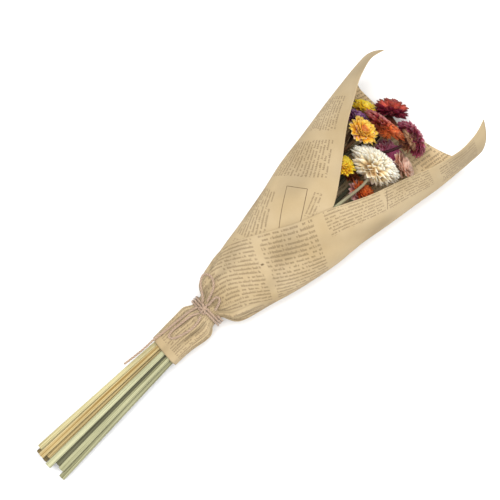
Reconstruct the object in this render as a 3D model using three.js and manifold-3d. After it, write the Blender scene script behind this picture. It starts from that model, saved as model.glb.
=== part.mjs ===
// A bunch of dried strawflowers, rolled in one sheet of printed brown paper and tied with
// jute twine. It lies on a table with the open side of the paper upwards.
// Millimetres. +X runs from the cut stalks to the flowers, +Y is left looking along +X, and
// +Z is up. The origin is the middle of the flat spot on which the paper rests.

import * as THREE from 'three';
import { mergeVertices } from 'three/addons/utils/BufferGeometryUtils.js';
import Module from 'manifold-3d';

const wasm = await Module();
wasm.setup();

const DEGREE = Math.PI / 180;
const SEED = 2207;

// Paper sheet
const PAPER_THICKNESS = 0.6;
const LAYER_PITCH = 1.0; // from one turn of the paper to the next
const PAPER_COLUMNS = 42; // facets round the sheet
const PLEATS = 7;
const MOUTH_BACK_X = 54; // lowest point of the sheet's top edge, at the back
const LEFT_CORNER_RISE = 30; // how far the top edge runs on to the left corner
const RIGHT_CORNER_RISE = 46; // and to the right corner
const LOWEST_TOP_PLACE = 0.3; // where across the sheet the top edge is lowest, 0 to 1
const SKIRT_END_X = -197;
const SKIRT_SLANT = 5; // the bottom cut is this much further out on the right

// The roll of the paper at places along the bunch: half its width, the middle of its width,
// the height of its widest level, how deep it is below that level, how high above it on the
// left and on the right, the angles of the left and the right edge of the sheet (degrees from
// straight up, positive towards the left) and how deep its pleats are.
const ROLL = [
  {
    x: -206, half: 12.6, mid: 3.0, level: 17.9, low: 10.4, left: 10.4, right: 10.4,
    leftEdge: -60, rightEdge: 120, pleat: 0.2,
  },
  {
    x: -182, half: 13.3, mid: 2.8, level: 19.7, low: 11.0, left: 11.0, right: 11.0,
    leftEdge: -60, rightEdge: 120, pleat: 0.4,
  },
  {
    x: -164, half: 13.8, mid: 1.6, level: 21.2, low: 12.0, left: 12.0, right: 12.0,
    leftEdge: -60, rightEdge: 120, pleat: 0.8,
  },
  {
    x: -156, half: 10.8, mid: 1.6, level: 22.0, low: 10.8, left: 10.8, right: 10.8,
    leftEdge: -60, rightEdge: 120, pleat: 0,
  },
  {
    x: -147, half: 10.8, mid: 1.6, level: 22.0, low: 10.8, left: 10.8, right: 10.8,
    leftEdge: -60, rightEdge: 120, pleat: 0,
  },
  {
    x: -139, half: 19.4, mid: 0.2, level: 23.0, low: 15.0, left: 15.0, right: 15.0,
    leftEdge: -62, rightEdge: 114, pleat: 0.9,
  },
  {
    x: -127, half: 24.2, mid: -0.6, level: 24.2, low: 18.0, left: 18.0, right: 18.0,
    leftEdge: -62, rightEdge: 104, pleat: 0.7,
  },
  {
    x: -105, half: 30.2, mid: -1.5, level: 25.8, low: 21.0, left: 21.0, right: 21.0,
    leftEdge: -60, rightEdge: 66, pleat: 0.2,
  },
  {
    x: -83, half: 34.8, mid: -2.6, level: 27.0, low: 24.0, left: 23.5, right: 23.5,
    leftEdge: -46, rightEdge: 33, pleat: 0,
  },
  {
    x: -58, half: 39.6, mid: -2.8, level: 28.0, low: 26.6, left: 25.5, right: 25.5,
    leftEdge: -28, rightEdge: 8, pleat: 0,
  },
  {
    x: -27, half: 44.5, mid: -1.8, level: 28.8, low: 28.5, left: 28.0, right: 28.0,
    leftEdge: -11, rightEdge: -11, pleat: 0,
  },
  {
    x: 0, half: 48.6, mid: -2.0, level: 29.4, low: 29.7, left: 34.0, right: 34.0,
    leftEdge: 12, rightEdge: -26, pleat: 0,
  },
  {
    x: 25, half: 52.3, mid: -2.0, level: 30.2, low: 30.3, left: 48.0, right: 47.0,
    leftEdge: 34, rightEdge: -36, pleat: 0,
  },
  {
    x: 42, half: 54.8, mid: -2.2, level: 31.0, low: 30.4, left: 63.0, right: 57.0,
    leftEdge: 46, rightEdge: -43, pleat: 0,
  },
  {
    x: 58, half: 56.5, mid: -2.4, level: 31.8, low: 30.6, left: 92.0, right: 66.0,
    leftEdge: 59, rightEdge: -48, pleat: 0,
  },
  {
    x: 72, half: 57.6, mid: -2.8, level: 32.4, low: 30.8, left: 116.0, right: 72.0,
    leftEdge: 66, rightEdge: -51, pleat: 0,
  },
  {
    x: 86, half: 58.2, mid: -3.0, level: 32.8, low: 30.8, left: 94.0, right: 68.0,
    leftEdge: 59, rightEdge: -49, pleat: 0,
  },
  {
    x: 102, half: 58.6, mid: -3.2, level: 33.0, low: 30.8, left: 94.0, right: 58.0,
    leftEdge: 59, rightEdge: -42, pleat: 0,
  },
];

// Rows of facets along the sheet, before its two ends are slanted
const PAPER_ROWS = [
  -197, -182, -171, -163, -156, -147, -143, -138, -130, -118, -105, -83, -58, -27, 0, 22, 40,
];

// Stalks
const STALK_RADIUS = 2.1;
const STALK_SIDES = 5;
const STALK_STEPS = 16;
const SLOT_RADIUS = 2.36; // half the pitch of the stalks at the tie
const CUT_END_X = -320;
const CUT_END_STAGGER = 8;
const TIE_X = -151.5;

// Where the bundle of stalks is, and how far it spreads beside and above its middle
const BUNDLE = [
  { x: CUT_END_X, mid: 4.1, level: 8.95, wide: 2.0, tall: 1.0 },
  { x: -205, mid: 3.0, level: 18.0, wide: 1.3, tall: 1.0 },
  { x: -160, mid: 1.7, level: 21.9, wide: 1.0, tall: 1.0 },
  { x: -146, mid: 1.5, level: 22.1, wide: 1.0, tall: 1.0 },
];

// Twine
const TWINE_RADIUS = 0.9;
const TWINE_SIDES = 8;
const TWINE_COLOUR = '#a58a74';
const TIE_TURNS = 2.9;
const TIE_TURN_PITCH = 2.2;
const TIE_RADIUS = 13.4;
const TIE_MID_Y = 1.6;
const TIE_LEVEL = 22;

// The knot on top of the turns: short strands that cross over each other
const KNOT_STRANDS = [
  [[-155.6, 4.2, 35.2], [-154.2, 4.4, 37.2], [-151.5, 4.6, 38], [-148.8, 4.8, 37.2], [-147.4, 5, 35.4]],
  [[-153.4, 1.2, 35.6], [-152.8, 2.6, 37.4], [-151.5, 4.6, 38.3], [-150.2, 6.8, 37.2], [-149.6, 8.2, 35.4]],
  [[-149.8, 1.6, 35.6], [-150.4, 3, 37], [-151.6, 4.8, 37.9], [-152.6, 6.4, 37], [-153.2, 7.6, 35.6]],
];

// Free strands of the bow, from one end of each to the other
const BOW = [
  {
    name: 'twine_loop_right',
    route: [
      [-148.7, 9.1, 36.0], [-145.3, 12.6, 38.2], [-142.2, 17.2, 38.2], [-138.5, 21.4, 37.2],
      [-134.2, 23.4, 36.2], [-131.1, 21.6, 37.0], [-130.4, 17.6, 38.6], [-132.6, 13.2, 40.6],
      [-137.0, 9.8, 40.7], [-141.8, 8.0, 39.4], [-145.6, 7.0, 38.2],
    ],
  },
  {
    name: 'twine_loop_small',
    route: [
      [-147.2, 4.2, 38.0], [-142.4, 4.6, 40.2], [-139.0, 4.4, 41.4], [-137.6, 2.4, 41.8],
      [-139.2, 0.2, 41.4], [-142.8, -1.2, 39.6], [-146.4, -2.2, 37.8],
    ],
  },
  {
    name: 'twine_loop_left',
    route: [
      [-156.8, 5.0, 36.1], [-161.4, 7.4, 35.4], [-167.4, 8.6, 34.3], [-174.2, 9.4, 33.1],
      [-181.0, 10.0, 32.0], [-185.8, 8.8, 31.6], [-184.6, 5.4, 32.8], [-178.2, 2.6, 33.7],
      [-170.0, 0.6, 35.2], [-162.2, 0.8, 36.4], [-157.6, 2.6, 36.8],
    ],
  },
  {
    name: 'twine_tail_long',
    route: [
      [-154.2, 9.0, 35.7], [-160.0, 10.8, 34.0], [-168.2, 11.8, 32.6], [-177.0, 12.8, 31.2],
      [-186.0, 13.8, 29.4], [-195.4, 15.2, 28.6], [-205.2, 15.6, 27.2], [-215.4, 16.6, 25.8],
      [-225.6, 18.0, 24.6],
    ],
  },
];
const BOW_STEP = 5; // length of one facet along a strand

// Flower heads: the middle of the head, the way it faces, its radius, its height over its
// radius, how many bracts each row has from the outermost to the innermost, the slope of the
// outermost and of the innermost row, the curl of the bracts' tips, the stalk's slot at the
// tie (0 to 2 are the inner ones, 3 to 11 the outer ones, counted from the left) and the
// point by which the stalk bends clear of its neighbours.
const HEADS = [
  {
    name: 'cream_white', middle: [19.5, -10, 48], faces: [0.98, 0.17, -0.11],
    radius: 21.5, flat: 0.88, rows: [13, 12, 11, 8, 5], slopes: [-22, 70], curl: 0.05,
    slot: 5, via: [-80, -3, 45], colour: '#f0e6cd',
  },
  {
    name: 'lemon_yellow', middle: [2, 8, 50], faces: [0.86, 0.31, 0.4],
    radius: 12, flat: 0.75, rows: [10, 9, 7, 4], slopes: [-5, 70], curl: 0.05,
    slot: 0, via: [-57, -5, 31], colour: '#f0c425',
  },
  {
    name: 'golden_orange', middle: [30, 15, 57.5], faces: [0.76, 0.02, 0.65],
    radius: 13, flat: 0.7, rows: [12, 11, 9, 5], slopes: [0, 66], curl: 0.08,
    slot: 3, via: [-36, 17, 27], colour: '#eca135',
  },
  {
    name: 'purple', middle: [35.5, 25, 38.5], faces: [0.9, 0.29, 0.32],
    radius: 11, flat: 0.6, rows: [10, 9, 7, 4], slopes: [-10, 66], curl: 0.05,
    slot: 4, via: [-46, 8, 27], colour: '#6d2348',
  },
  {
    name: 'second_yellow', middle: [46, 26, 18.5], faces: [0.86, 0.31, 0.4],
    radius: 11, flat: 0.7, rows: [10, 9, 7, 4], slopes: [-5, 70], curl: 0.05,
    slot: 10, via: [-26, 4, 7], colour: '#eec81f',
  },
  {
    name: 'crimson', middle: [46, 5.5, 39.5], faces: [0.99, -0.11, 0.11],
    radius: 17.5, flat: 0.45, rows: [12, 10, 8, 5], slopes: [-20, 60], curl: -0.05,
    slot: 2, via: [-26, 14, 20], colour: '#a3402c',
  },
  {
    name: 'coral_red', middle: [61, 10.5, 21], faces: [0.93, 0.34, 0.16],
    radius: 14, flat: 0.9, rows: [11, 10, 9, 5], slopes: [-8, 72], curl: 0.05,
    slot: 9, via: [-48, 0, 17], colour: '#b5413d',
  },
  {
    name: 'maroon', middle: [55.5, -16, 28], faces: [0.95, -0.23, -0.23],
    radius: 15, flat: 0.6, rows: [13, 12, 8, 5], slopes: [-35, 50], curl: -0.12,
    slot: 11, via: [-22, 16, 16], colour: '#6b2032',
  },
  {
    name: 'magenta_pink', middle: [33.5, -12, 15.5], faces: [0.96, -0.24, 0.15],
    radius: 13, flat: 0.55, rows: [10, 9, 7, 4], slopes: [-10, 66], curl: 0.05,
    slot: 8, via: [-28, -9, 7], colour: '#a8457c',
  },
  {
    name: 'pale_pink', middle: [34, -26, 27], faces: [0.85, -0.31, 0.42],
    radius: 12, flat: 0.65, rows: [10, 9, 7, 4], slopes: [-5, 66], curl: 0.05,
    slot: 7, via: [-32, -16, 10], colour: '#dba79b',
  },
  {
    name: 'rust_pink', middle: [-3, -18.5, 39.5], faces: [0.82, -0.01, 0.57],
    radius: 11, flat: 0.75, rows: [10, 9, 7, 4], slopes: [-5, 66], curl: 0.05,
    slot: 6, via: [-62, -15, 19], colour: '#c0623a',
  },
  {
    name: 'brown_rust', middle: [1, -1, 28.5], faces: [0.91, 0.05, 0.4],
    radius: 9.5, flat: 0.7, rows: [9, 8, 6, 4], slopes: [-5, 66], curl: 0.05,
    slot: 1, via: [-66, -6, 16], colour: '#8a4a2c',
  },
];
const BRACT_THICKNESS = 1.1;
const BRACT_WIDEST = 0.74; // place of a bract's widest point along it, 0 to 1
const BRACT_FILL = 0.86; // share of its row's circle that the bracts take up
const HEAD_SEAT_RADIUS = 2.8;
const STALK_GAP = 0.3;

/** Repeatable random numbers from 0 to 1. */
function seededRandom(seed) {
  let state = seed;
  return () => {
    state = (state * 1664525 + 1013904223) % 4294967296;
    return state / 4294967296;
  };
}

/** Value of one field of a list of places at x, on a smooth curve that never overshoots. */
function smoothField(places, field, x) {
  const last = places.length - 1;
  const step = (i) => places[i + 1].x - places[i].x;
  const rise = (i) => (places[i + 1][field] - places[i][field]) / step(i);
  const slope = (i) => {
    if (i === 0 || i === last) return rise(Math.max(0, i - 1));
    const before = rise(i - 1);
    const after = rise(i);
    return before * after <= 0 ? 0 : (2 * before * after) / (before + after);
  };
  if (x <= places[0].x) return places[0][field] + (x - places[0].x) * slope(0);
  if (x >= places[last].x) return places[last][field] + (x - places[last].x) * slope(last);
  const i = places.findIndex((place) => place.x > x) - 1;
  const width = step(i);
  const t = (x - places[i].x) / width;
  const bend = (1 - t) * (1 - t) * t * slope(i) - (1 - t) * t * t * slope(i + 1);
  const ease = t * t * (3 - 2 * t);
  return places[i][field] * (1 - ease) + places[i + 1][field] * ease + width * bend;
}

/** A closed mesh as a solid that can be joined and cut. */
function toSolid(geometry) {
  const bare = geometry.index ? geometry.clone() : geometry;
  bare.deleteAttribute('normal');
  bare.deleteAttribute('uv');
  const merged = mergeVertices(bare, 1e-4);
  return new wasm.Manifold(new wasm.Mesh({
    numProp: 3,
    vertProperties: new Float32Array(merged.attributes.position.array),
    triVerts: new Uint32Array(merged.index.array),
  }));
}

/** A solid as a three.js geometry. */
function toGeometry(solid) {
  const mesh = solid.getMesh();
  const geometry = new THREE.BufferGeometry();
  geometry.setAttribute('position', new THREE.BufferAttribute(mesh.vertProperties, 3));
  geometry.setIndex(new THREE.BufferAttribute(mesh.triVerts, 1));
  geometry.computeVertexNormals();
  return geometry;
}

/** A named mesh with a matt finish. */
function piece(name, geometry, colour, roughness = 0.85) {
  const material = new THREE.MeshStandardMaterial({ color: colour, roughness, metalness: 0 });
  const mesh = new THREE.Mesh(geometry, material);
  mesh.name = name;
  return mesh;
}

/** A round cord or stalk along a smooth curve through the points. */
function tube(points, radius, sides, steps, tension = 0.5) {
  const curve = new THREE.CatmullRomCurve3(points, false, 'catmullrom', tension);
  const section = new THREE.Shape();
  for (let i = 0; i < sides; i += 1) {
    const angle = (2 * Math.PI * i) / sides;
    const corner = [radius * Math.cos(angle), radius * Math.sin(angle)];
    if (i === 0) section.moveTo(...corner);
    else section.lineTo(...corner);
  }
  section.closePath();
  return new THREE.ExtrudeGeometry(section, { steps, extrudePath: curve, curveSegments: 1 });
}

/** The roll's surface without its turns: a point at an angle from straight up and at x. */
function rollPoint(angle, x) {
  const turn = ((angle % 360) + 360) % 360;
  const above = Math.cos(turn * DEGREE) >= 0;
  const rise = smoothField(ROLL, turn < 180 ? 'left' : 'right', x);
  const reach = above ? rise : smoothField(ROLL, 'low', x);
  return new THREE.Vector3(
    x,
    smoothField(ROLL, 'mid', x) + smoothField(ROLL, 'half', x) * Math.sin(turn * DEGREE),
    smoothField(ROLL, 'level', x) + reach * Math.cos(turn * DEGREE),
  );
}

/** The roll's outward direction at an angle and at x. */
function rollNormal(angle, x) {
  const alongX = rollPoint(angle, x + 0.5).sub(rollPoint(angle, x - 0.5));
  const round = rollPoint(angle + 0.5, x).sub(rollPoint(angle - 0.5, x));
  return alongX.cross(round).normalize();
}

/** A point of the sheet: place across it, 0 at the left edge to 1 at the right, x, and side. */
function paperPoint(place, x, outward) {
  const leftEdge = smoothField(ROLL, 'leftEdge', x);
  const rightEdge = smoothField(ROLL, 'rightEdge', x) + 360;
  const angle = leftEdge + place * (rightEdge - leftEdge);
  const layer = (LAYER_PITCH * (angle - 180)) / 360;
  const pleat = smoothField(ROLL, 'pleat', x) * Math.cos(PLEATS * angle * DEGREE);
  const offset = layer + pleat + outward;
  const point = rollPoint(angle, x).addScaledVector(rollNormal(angle, x), offset);
  point.z = Math.max(point.z, outward > 0 ? 0 : PAPER_THICKNESS);
  return point;
}

/** Where the sheet's top edge is, at a place across it. */
function topEdgeX(place) {
  if (place < LOWEST_TOP_PLACE) {
    const towardsLeft = (LOWEST_TOP_PLACE - place) / LOWEST_TOP_PLACE;
    return MOUTH_BACK_X + LEFT_CORNER_RISE * towardsLeft ** 1.5;
  }
  const towardsRight = (place - LOWEST_TOP_PLACE) / (1 - LOWEST_TOP_PLACE);
  return MOUTH_BACK_X + RIGHT_CORNER_RISE * towardsRight ** 2;
}

/** The paper: one sheet, rolled, pleated at the tie and open at the mouth. */
function paperWrap() {
  const rows = PAPER_ROWS.length + 2;
  const sheet = new THREE.BoxGeometry(1, 1, 1, PAPER_COLUMNS, rows, 1);
  const position = sheet.attributes.position;
  const lastFixed = PAPER_ROWS[PAPER_ROWS.length - 1];
  for (let i = 0; i < position.count; i += 1) {
    const place = 0.5 - position.getX(i);
    const row = Math.round((position.getY(i) + 0.5) * rows);
    const outward = position.getZ(i) * PAPER_THICKNESS;
    const top = topEdgeX(place);
    const beyond = (row - PAPER_ROWS.length + 1) / (rows - PAPER_ROWS.length + 1);
    let x = beyond > 0 ? lastFixed + (top - lastFixed) * beyond : PAPER_ROWS[row];
    if (row === 0) x = SKIRT_END_X + SKIRT_SLANT * Math.cos(place * 3 * Math.PI);
    position.setXYZ(i, ...paperPoint(place, x, outward).toArray());
  }
  const merged = toGeometry(toSolid(sheet));
  return piece('paper_wrap', merged, '#d9c096', 0.9);
}

/** Place of a stalk's slot beside and above the middle of the bundle. */
function slotPlace(slot) {
  const inner = slot < 3;
  const angle = (inner ? 30 + 120 * slot : 10 + 40 * (slot - 3)) * DEGREE;
  const ring = SLOT_RADIUS * (inner ? 1.16 : 3.04);
  return [ring * Math.cos(angle), ring * Math.sin(angle)];
}

/** The seat under a flower head, where its stalk ends, and the way the head faces. */
function headSeat(head) {
  const faces = new THREE.Vector3(...head.faces).normalize();
  const seat = new THREE.Vector3(...head.middle);
  seat.addScaledVector(faces, -0.5 * head.radius * head.flat);
  return { seat, faces };
}

/** The stalk of a flower head, from its cut end through the tie to the head's seat. */
function stalk(head, random) {
  const [beside, above] = slotPlace(head.slot);
  const points = BUNDLE.map((place) => new THREE.Vector3(
    place.x,
    place.mid + beside * place.wide,
    place.level + above * place.tall,
  ));
  points[0].x += CUT_END_STAGGER * (random() - 0.5);
  const { seat, faces } = headSeat(head);
  const end = seat.clone().addScaledVector(faces, -STALK_GAP);
  points.push(new THREE.Vector3(...head.via));
  points.push(end.clone().addScaledVector(faces, -14));
  points.push(end);
  const shape = tube(points, STALK_RADIUS, STALK_SIDES, STALK_STEPS);
  return piece(`stalk_${head.name}`, toGeometry(toSolid(shape)), '#c9c08f');
}

/** The core of a flower head: a low dome on a flat seat. */
function headCore(head) {
  const height = head.radius * head.flat;
  const profile = [
    [0, 0],
    [HEAD_SEAT_RADIUS, 0],
    [0.4 * head.radius, 0.24 * height],
    [0.46 * head.radius, 0.5 * height],
    [0.3 * head.radius, 0.78 * height],
    [0, 0.86 * height],
  ];
  const outline = profile.map(([r, z]) => new THREE.Vector2(r, z));
  const dome = new THREE.LatheGeometry(outline, 10);
  dome.rotateX(90 * DEGREE);
  return toSolid(dome);
}

/** One bract: a pointed blade along +X, thick in its middle, with its tip curled upwards. */
function bract(length, width, curl) {
  const blade = new THREE.OctahedronGeometry(1, 0);
  const position = blade.attributes.position;
  for (let i = 0; i < position.count; i += 1) {
    const end = Math.round(position.getX(i));
    const reach = length * (end < 0 ? 0 : end > 0 ? 1 : BRACT_WIDEST);
    const beside = Math.round(position.getY(i)) * width * 0.5;
    const sag = end === 0 ? -curl * length : 0;
    const above = Math.round(position.getZ(i)) * BRACT_THICKNESS * 0.5 + sag;
    position.setXYZ(i, reach, beside, above);
  }
  return blade;
}

/** A flower head: rows of bracts that stand out of a core, fused into one solid. */
function flowerHead(head, random) {
  const height = head.radius * head.flat;
  let solid = headCore(head);
  head.rows.forEach((count, row) => {
    const share = row / (head.rows.length - 1);
    const slope = head.slopes[0] + (head.slopes[1] - head.slopes[0]) * share;
    const rootLevel = height * (0.3 + 0.16 * share);
    for (let i = 0; i < count; i += 1) {
      const lean = (slope + 5 * (random() - 0.5)) * DEGREE;
      const upReach = height - rootLevel;
      const length = 1 / Math.hypot(Math.cos(lean) / head.radius, Math.sin(lean) / upReach);
      const reach = length * (0.95 + 0.1 * random());
      const circle = 2 * Math.PI * Math.cos(slope * DEGREE) * BRACT_WIDEST * length;
      const blade = bract(reach, (BRACT_FILL * circle) / count, head.curl);
      blade.rotateY(-lean);
      blade.rotateZ((2 * Math.PI * (i + 0.5 * (row % 2) + 0.12 * random())) / count);
      blade.translate(0, 0, rootLevel);
      solid = solid.add(toSolid(blade));
    }
  });
  const geometry = toGeometry(solid);
  const { seat, faces } = headSeat(head);
  const turn = new THREE.Quaternion().setFromUnitVectors(new THREE.Vector3(0, 0, 1), faces);
  const mesh = piece(`head_${head.name}`, geometry, head.colour);
  mesh.quaternion.copy(turn);
  mesh.position.copy(seat);
  return mesh;
}

/** The turns of twine round the neck. */
function twineTie() {
  const points = [];
  const steps = Math.round(TIE_TURNS * 12);
  for (let i = 0; i <= steps; i += 1) {
    const turns = (TIE_TURNS * i) / steps;
    const angle = turns * 2 * Math.PI;
    points.push(new THREE.Vector3(
      TIE_X + TIE_TURN_PITCH * (turns - TIE_TURNS / 2),
      TIE_MID_Y + TIE_RADIUS * Math.sin(angle),
      TIE_LEVEL + TIE_RADIUS * Math.cos(angle),
    ));
  }
  let solid = toSolid(tube(points, TWINE_RADIUS, 5, steps));
  for (const strand of KNOT_STRANDS) {
    const route = strand.map((point) => new THREE.Vector3(...point));
    solid = solid.add(toSolid(tube(route, TWINE_RADIUS, 5, 5)));
  }
  return piece('twine_tie', toGeometry(solid), TWINE_COLOUR);
}

/** A free strand of the bow. */
function bowStrand({ name, route }) {
  const points = route.map((point) => new THREE.Vector3(...point));
  const length = new THREE.CatmullRomCurve3(points, false, 'catmullrom', 0.5).getLength();
  const steps = Math.round(length / BOW_STEP);
  const cord = tube(points, TWINE_RADIUS, TWINE_SIDES, steps);
  return piece(name, toGeometry(toSolid(cord)), TWINE_COLOUR);
}

const bouquet = new THREE.Group();
bouquet.name = 'dried_bouquet';
const random = seededRandom(SEED);
bouquet.add(paperWrap());
bouquet.add(twineTie());
for (const strand of BOW) bouquet.add(bowStrand(strand));
for (const head of HEADS) {
  bouquet.add(stalk(head, random));
  bouquet.add(flowerHead(head, random));
}

export default bouquet;
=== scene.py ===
"""The looks of a bunch of dried strawflowers, rolled in printed brown paper and tied with jute.

Metres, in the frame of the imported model: +X runs from the cut stalks to the flowers, +Y is left
looking along +X, +Z is up, and the bunch lies on the table at z = 0.
"""

import logging
import math
from collections.abc import Callable
from dataclasses import dataclass, field
from enum import Enum

import bpy
import numpy as np
from mathutils import Matrix, Vector


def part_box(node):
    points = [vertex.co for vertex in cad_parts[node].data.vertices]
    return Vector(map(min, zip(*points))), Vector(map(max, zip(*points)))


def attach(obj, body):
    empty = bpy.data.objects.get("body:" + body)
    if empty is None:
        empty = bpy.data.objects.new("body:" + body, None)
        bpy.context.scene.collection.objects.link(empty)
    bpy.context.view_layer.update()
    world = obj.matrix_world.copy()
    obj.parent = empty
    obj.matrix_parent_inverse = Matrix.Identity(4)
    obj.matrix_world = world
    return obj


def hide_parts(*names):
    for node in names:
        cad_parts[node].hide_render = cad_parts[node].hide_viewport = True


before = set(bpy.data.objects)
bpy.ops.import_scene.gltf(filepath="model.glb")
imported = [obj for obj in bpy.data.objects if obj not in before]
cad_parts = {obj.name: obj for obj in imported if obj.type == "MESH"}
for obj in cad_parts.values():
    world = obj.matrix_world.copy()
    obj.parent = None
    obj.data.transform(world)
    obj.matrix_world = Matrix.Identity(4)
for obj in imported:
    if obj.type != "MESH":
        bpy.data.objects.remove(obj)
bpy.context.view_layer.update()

log = logging.getLogger("bouquet")

Point = tuple[float, float, float]
Colour = tuple[float, float, float]
Span = tuple[float, float]
Array = np.ndarray
Mesh = bpy.types.Mesh
Thing = bpy.types.Object
Material = bpy.types.Material
Socket = bpy.types.NodeSocket
Node = bpy.types.Node

BODY = "root"
TIE_X = -0.1515
TURN = 2 * math.pi
GOLDEN_ANGLE = math.radians(137.508)


def srgb(code: str) -> Colour:
    """A colour in the renderer's linear numbers, from its usual web code of six digits."""
    parts = [int(code[i : i + 2], 16) / 255 for i in (0, 2, 4)]
    return tuple(p / 12.92 if p <= 0.04045 else ((p + 0.055) / 1.055) ** 2.4 for p in parts)


def catmull_rom(points: list[Point], steps: int) -> Array:
    """A smooth curve through points, sampled evenly between each pair.

    Args:
        points: the points that the curve passes through.
        steps: how many steps there are between two points.

    Returns:
        The samples, one row each.
    """
    given = np.array(points, float)
    knots = np.vstack([2 * given[0] - given[1], given, 2 * given[-1] - given[-2]])
    t = np.linspace(0, 1, steps, endpoint=False)[:, None]
    samples = []
    for i in range(1, len(knots) - 2):
        before, start, end, after = knots[i - 1 : i + 3]
        leave = 0.5 * (end - before)
        arrive = 0.5 * (after - start)
        samples.append(
            start * (2 * t**3 - 3 * t**2 + 1)
            + leave * (t**3 - 2 * t**2 + t)
            + end * (3 * t**2 - 2 * t**3)
            + arrive * (t**3 - t**2)
        )
    return np.vstack([*samples, given[-1:]])


def mesh_from(name: str, vertices: Array, faces: list, edges: list = ()) -> Mesh:
    """A mesh from plain lists, with smooth faces.

    Args:
        name: the mesh's name.
        vertices: one row for each vertex.
        faces: the vertex numbers of each face.
        edges: loose edges, where the mesh is a line.

    Returns:
        The new mesh.
    """
    mesh = bpy.data.meshes.new(name)
    mesh.from_pydata([tuple(v) for v in vertices], list(edges), faces)
    mesh.polygons.foreach_set("use_smooth", [True] * len(mesh.polygons))
    mesh.update()
    return mesh


def closed_shell(name: str, outer: Array, inner: Array, flat: Array) -> Mesh:
    """A thin closed shell between two grids of points, with one flat map for both of them.

    Args:
        name: the mesh's name.
        outer: the outer points by row and column, which come first in the mesh.
        inner: the inner points.
        flat: the place of each point on the flat map.

    Returns:
        The new mesh.
    """
    total = outer.shape[0] * outer.shape[1]
    number = np.arange(total).reshape(outer.shape[:2])
    quads = [number[:-1, :-1], number[:-1, 1:], number[1:, 1:], number[1:, :-1]]
    top = np.stack(quads, axis=-1).reshape(-1, 4)
    rim = np.concatenate([number[0, :-1], number[:-1, -1], number[-1, :0:-1], number[:0:-1, 0]])
    onward = np.roll(rim, -1)
    walls = np.stack([onward, rim, rim + total, onward + total], axis=-1)
    points = np.concatenate([outer.reshape(-1, 3), inner.reshape(-1, 3)])
    mesh = mesh_from(name, points, np.vstack([top, top[:, ::-1] + total, walls]).tolist())
    corners = np.empty(len(mesh.loops), int)
    mesh.loops.foreach_get("vertex_index", corners)
    places = flat.reshape(-1, 2)[corners % total]
    mesh.uv_layers.new(name="flat").data.foreach_set("uv", places.ravel())
    return mesh


def place_in_scene(name: str, mesh: Mesh) -> Thing:
    """Puts a mesh in the scene as an object at the origin."""
    thing = bpy.data.objects.new(name, mesh)
    bpy.context.scene.collection.objects.link(thing)
    return thing


def lines_in_scene(name: str, lines: list[Array]) -> Thing:
    """Puts lines of points in the scene as one object with loose edges.

    Args:
        name: the object's name.
        lines: the points along each line.

    Returns:
        The new object.
    """
    edges = []
    start = 0
    for line in lines:
        edges += [(i, i + 1) for i in range(start, start + len(line) - 1)]
        start += len(line)
    return place_in_scene(name, mesh_from(name, np.vstack(lines), [], edges))


def arithmetic(operation: str, swapped: bool = False) -> Callable:
    """A method of Term that adds one arithmetic node.

    Args:
        operation: the node's operation.
        swapped: whether the other value comes first.

    Returns:
        The method.
    """

    def method(term: "Term", other: object) -> "Term":
        """Adds the node for a term and another value."""
        return term.graph.math(operation, *((other, term) if swapped else (term, other)))

    return method


class Term:
    """An output in a node tree, so that plain arithmetic on it adds nodes."""

    def __init__(self, graph: "NodeGraph", socket: Socket) -> None:
        """Keeps the socket and the tree that it is in."""
        self.graph = graph
        self.socket = socket

    __add__ = arithmetic("ADD")
    __sub__ = arithmetic("SUBTRACT")
    __rsub__ = arithmetic("SUBTRACT", swapped=True)
    __mul__ = arithmetic("MULTIPLY")
    __truediv__ = arithmetic("DIVIDE")
    __gt__ = arithmetic("GREATER_THAN")
    __lt__ = arithmetic("LESS_THAN")


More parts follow.
